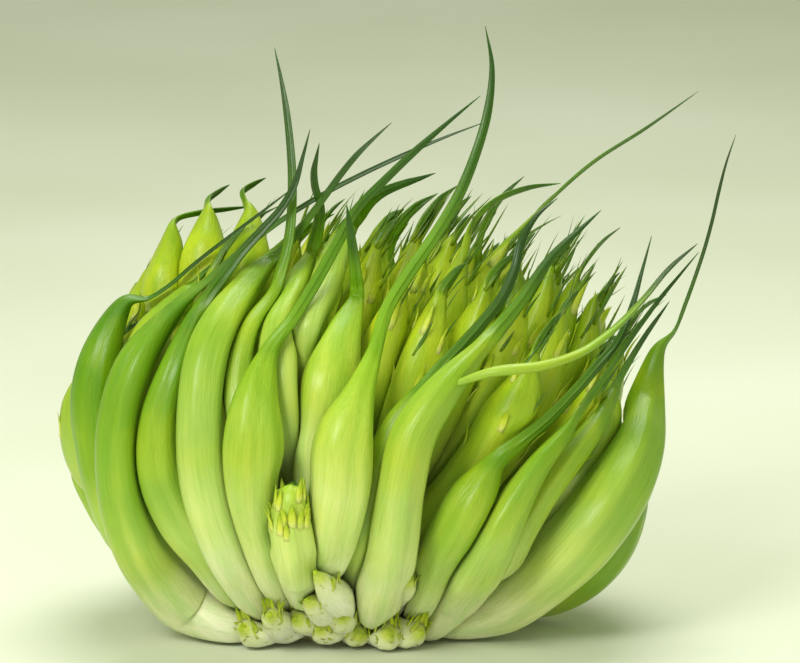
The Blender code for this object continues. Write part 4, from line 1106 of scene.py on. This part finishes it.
young = [shoot for shoot in shoots
         if shoot.kind in ("upper", "heart", "rear") and shoot.name not in FULLER]
spots = [spot for shoot in young for spot in on_skin(shoot, *YOUNG_TUFT, chance)]
scales("young_leaves", spots, YOUNG_LEAF, chance, scale_flesh, "crown_flesh", "crown")

spots = [spot for shoot in young for spot in on_skin(shoot, *NEEDLE_TUFT, chance)]
scales("needles", spots, NEEDLE, chance, needle_flesh, "crown_flesh", "crown")


# The floor. It is one pale, dull sheet with faint, broad clouds of tone. It lies level under the
# crown's cut face, which stands on it, and runs far out round the head.

FLOOR_HALF = 25.0

floor_mesh = bpy.data.meshes.new("floor")
corners = [(x * FLOOR_HALF, y * FLOOR_HALF, 0) for x, y in ((-1, -1), (1, -1), (1, 1), (-1, 1))]
floor_mesh.from_pydata(corners, [], [(0, 1, 2, 3)])
floor_mesh.update()
floor = placed("floor", floor_mesh)
floor_material, tree, shader = blank("pale_floor")
place = tree.nodes.new("ShaderNodeTexCoord").outputs["Object"]
soft = noise(tree, place, 3.0, 2.0)
tree.links.new(ramp(tree, soft, [(0.3, (0.66, 0.7, 0.54)), (0.7, (0.74, 0.78, 0.64))]),
          shader.inputs["Base Color"])
shader.inputs["Roughness"].default_value = 0.9
floor_mesh.materials.append(floor_material)


# The light and the camera. A window-like light stands in front on the left, a weak one fills from
# the right, a broad one hangs above, and the camera looks down on the front by 12 degrees.

VIEW_WIDTH = 256.0
LENS = 300.0
SENSOR = 36.0
AIM = (19.84, -35.0, 105.3)


def facing(spot, toward, side):
    """The pose of a light or a camera at a spot, that faces toward and has side on its right."""
    turned = np.eye(4)
    turned[:3] = np.column_stack([side, np.cross(side, toward), -toward, spot])
    return Matrix(turned.tolist())


def lamp(name, place, size, power, colour):
    """A square light that faces the middle of the head."""
    light = bpy.data.lights.new(name, "AREA")
    light.size = size
    light.energy = power
    light.color = colour
    toward = unit(HEAD_MIDDLE * MM - place)
    placed(name, light).matrix_world = facing(np.array(place), toward, unit(np.cross(toward, [0, 0, 1])))


lamp("window", (-0.4, -0.78, 0.65), 0.35, 6.2, (1.0, 0.99, 0.95))
lamp("fill", (0.6, -0.9, 0.15), 0.9, 0.9, (0.97, 1.0, 0.96))
lamp("top", (0.05, 0.2, 1.05), 0.7, 9.0, (1.0, 1.0, 0.97))

world = bpy.data.worlds.new("room")
world.use_nodes = True
sky = world.node_tree.nodes["Background"].inputs
sky["Color"].default_value = (0.92, 0.96, 0.74, 1)
sky["Strength"].default_value = 0.5
bpy.context.scene.world = world
bpy.context.scene.view_settings.view_transform = "Standard"

lens = bpy.data.cameras.new("camera")
lens.lens = LENS
lens.sensor_width = SENSOR
camera = placed("camera", lens)
behind = np.array([0.0, math.cos(LOOK_DOWN), -math.sin(LOOK_DOWN)])
spot = (np.array(AIM) - behind * VIEW_WIDTH * LENS / SENSOR) * MM
camera.matrix_world = facing(spot, behind, np.array([1.0, 0.0, 0.0]))
bpy.context.scene.camera = camera
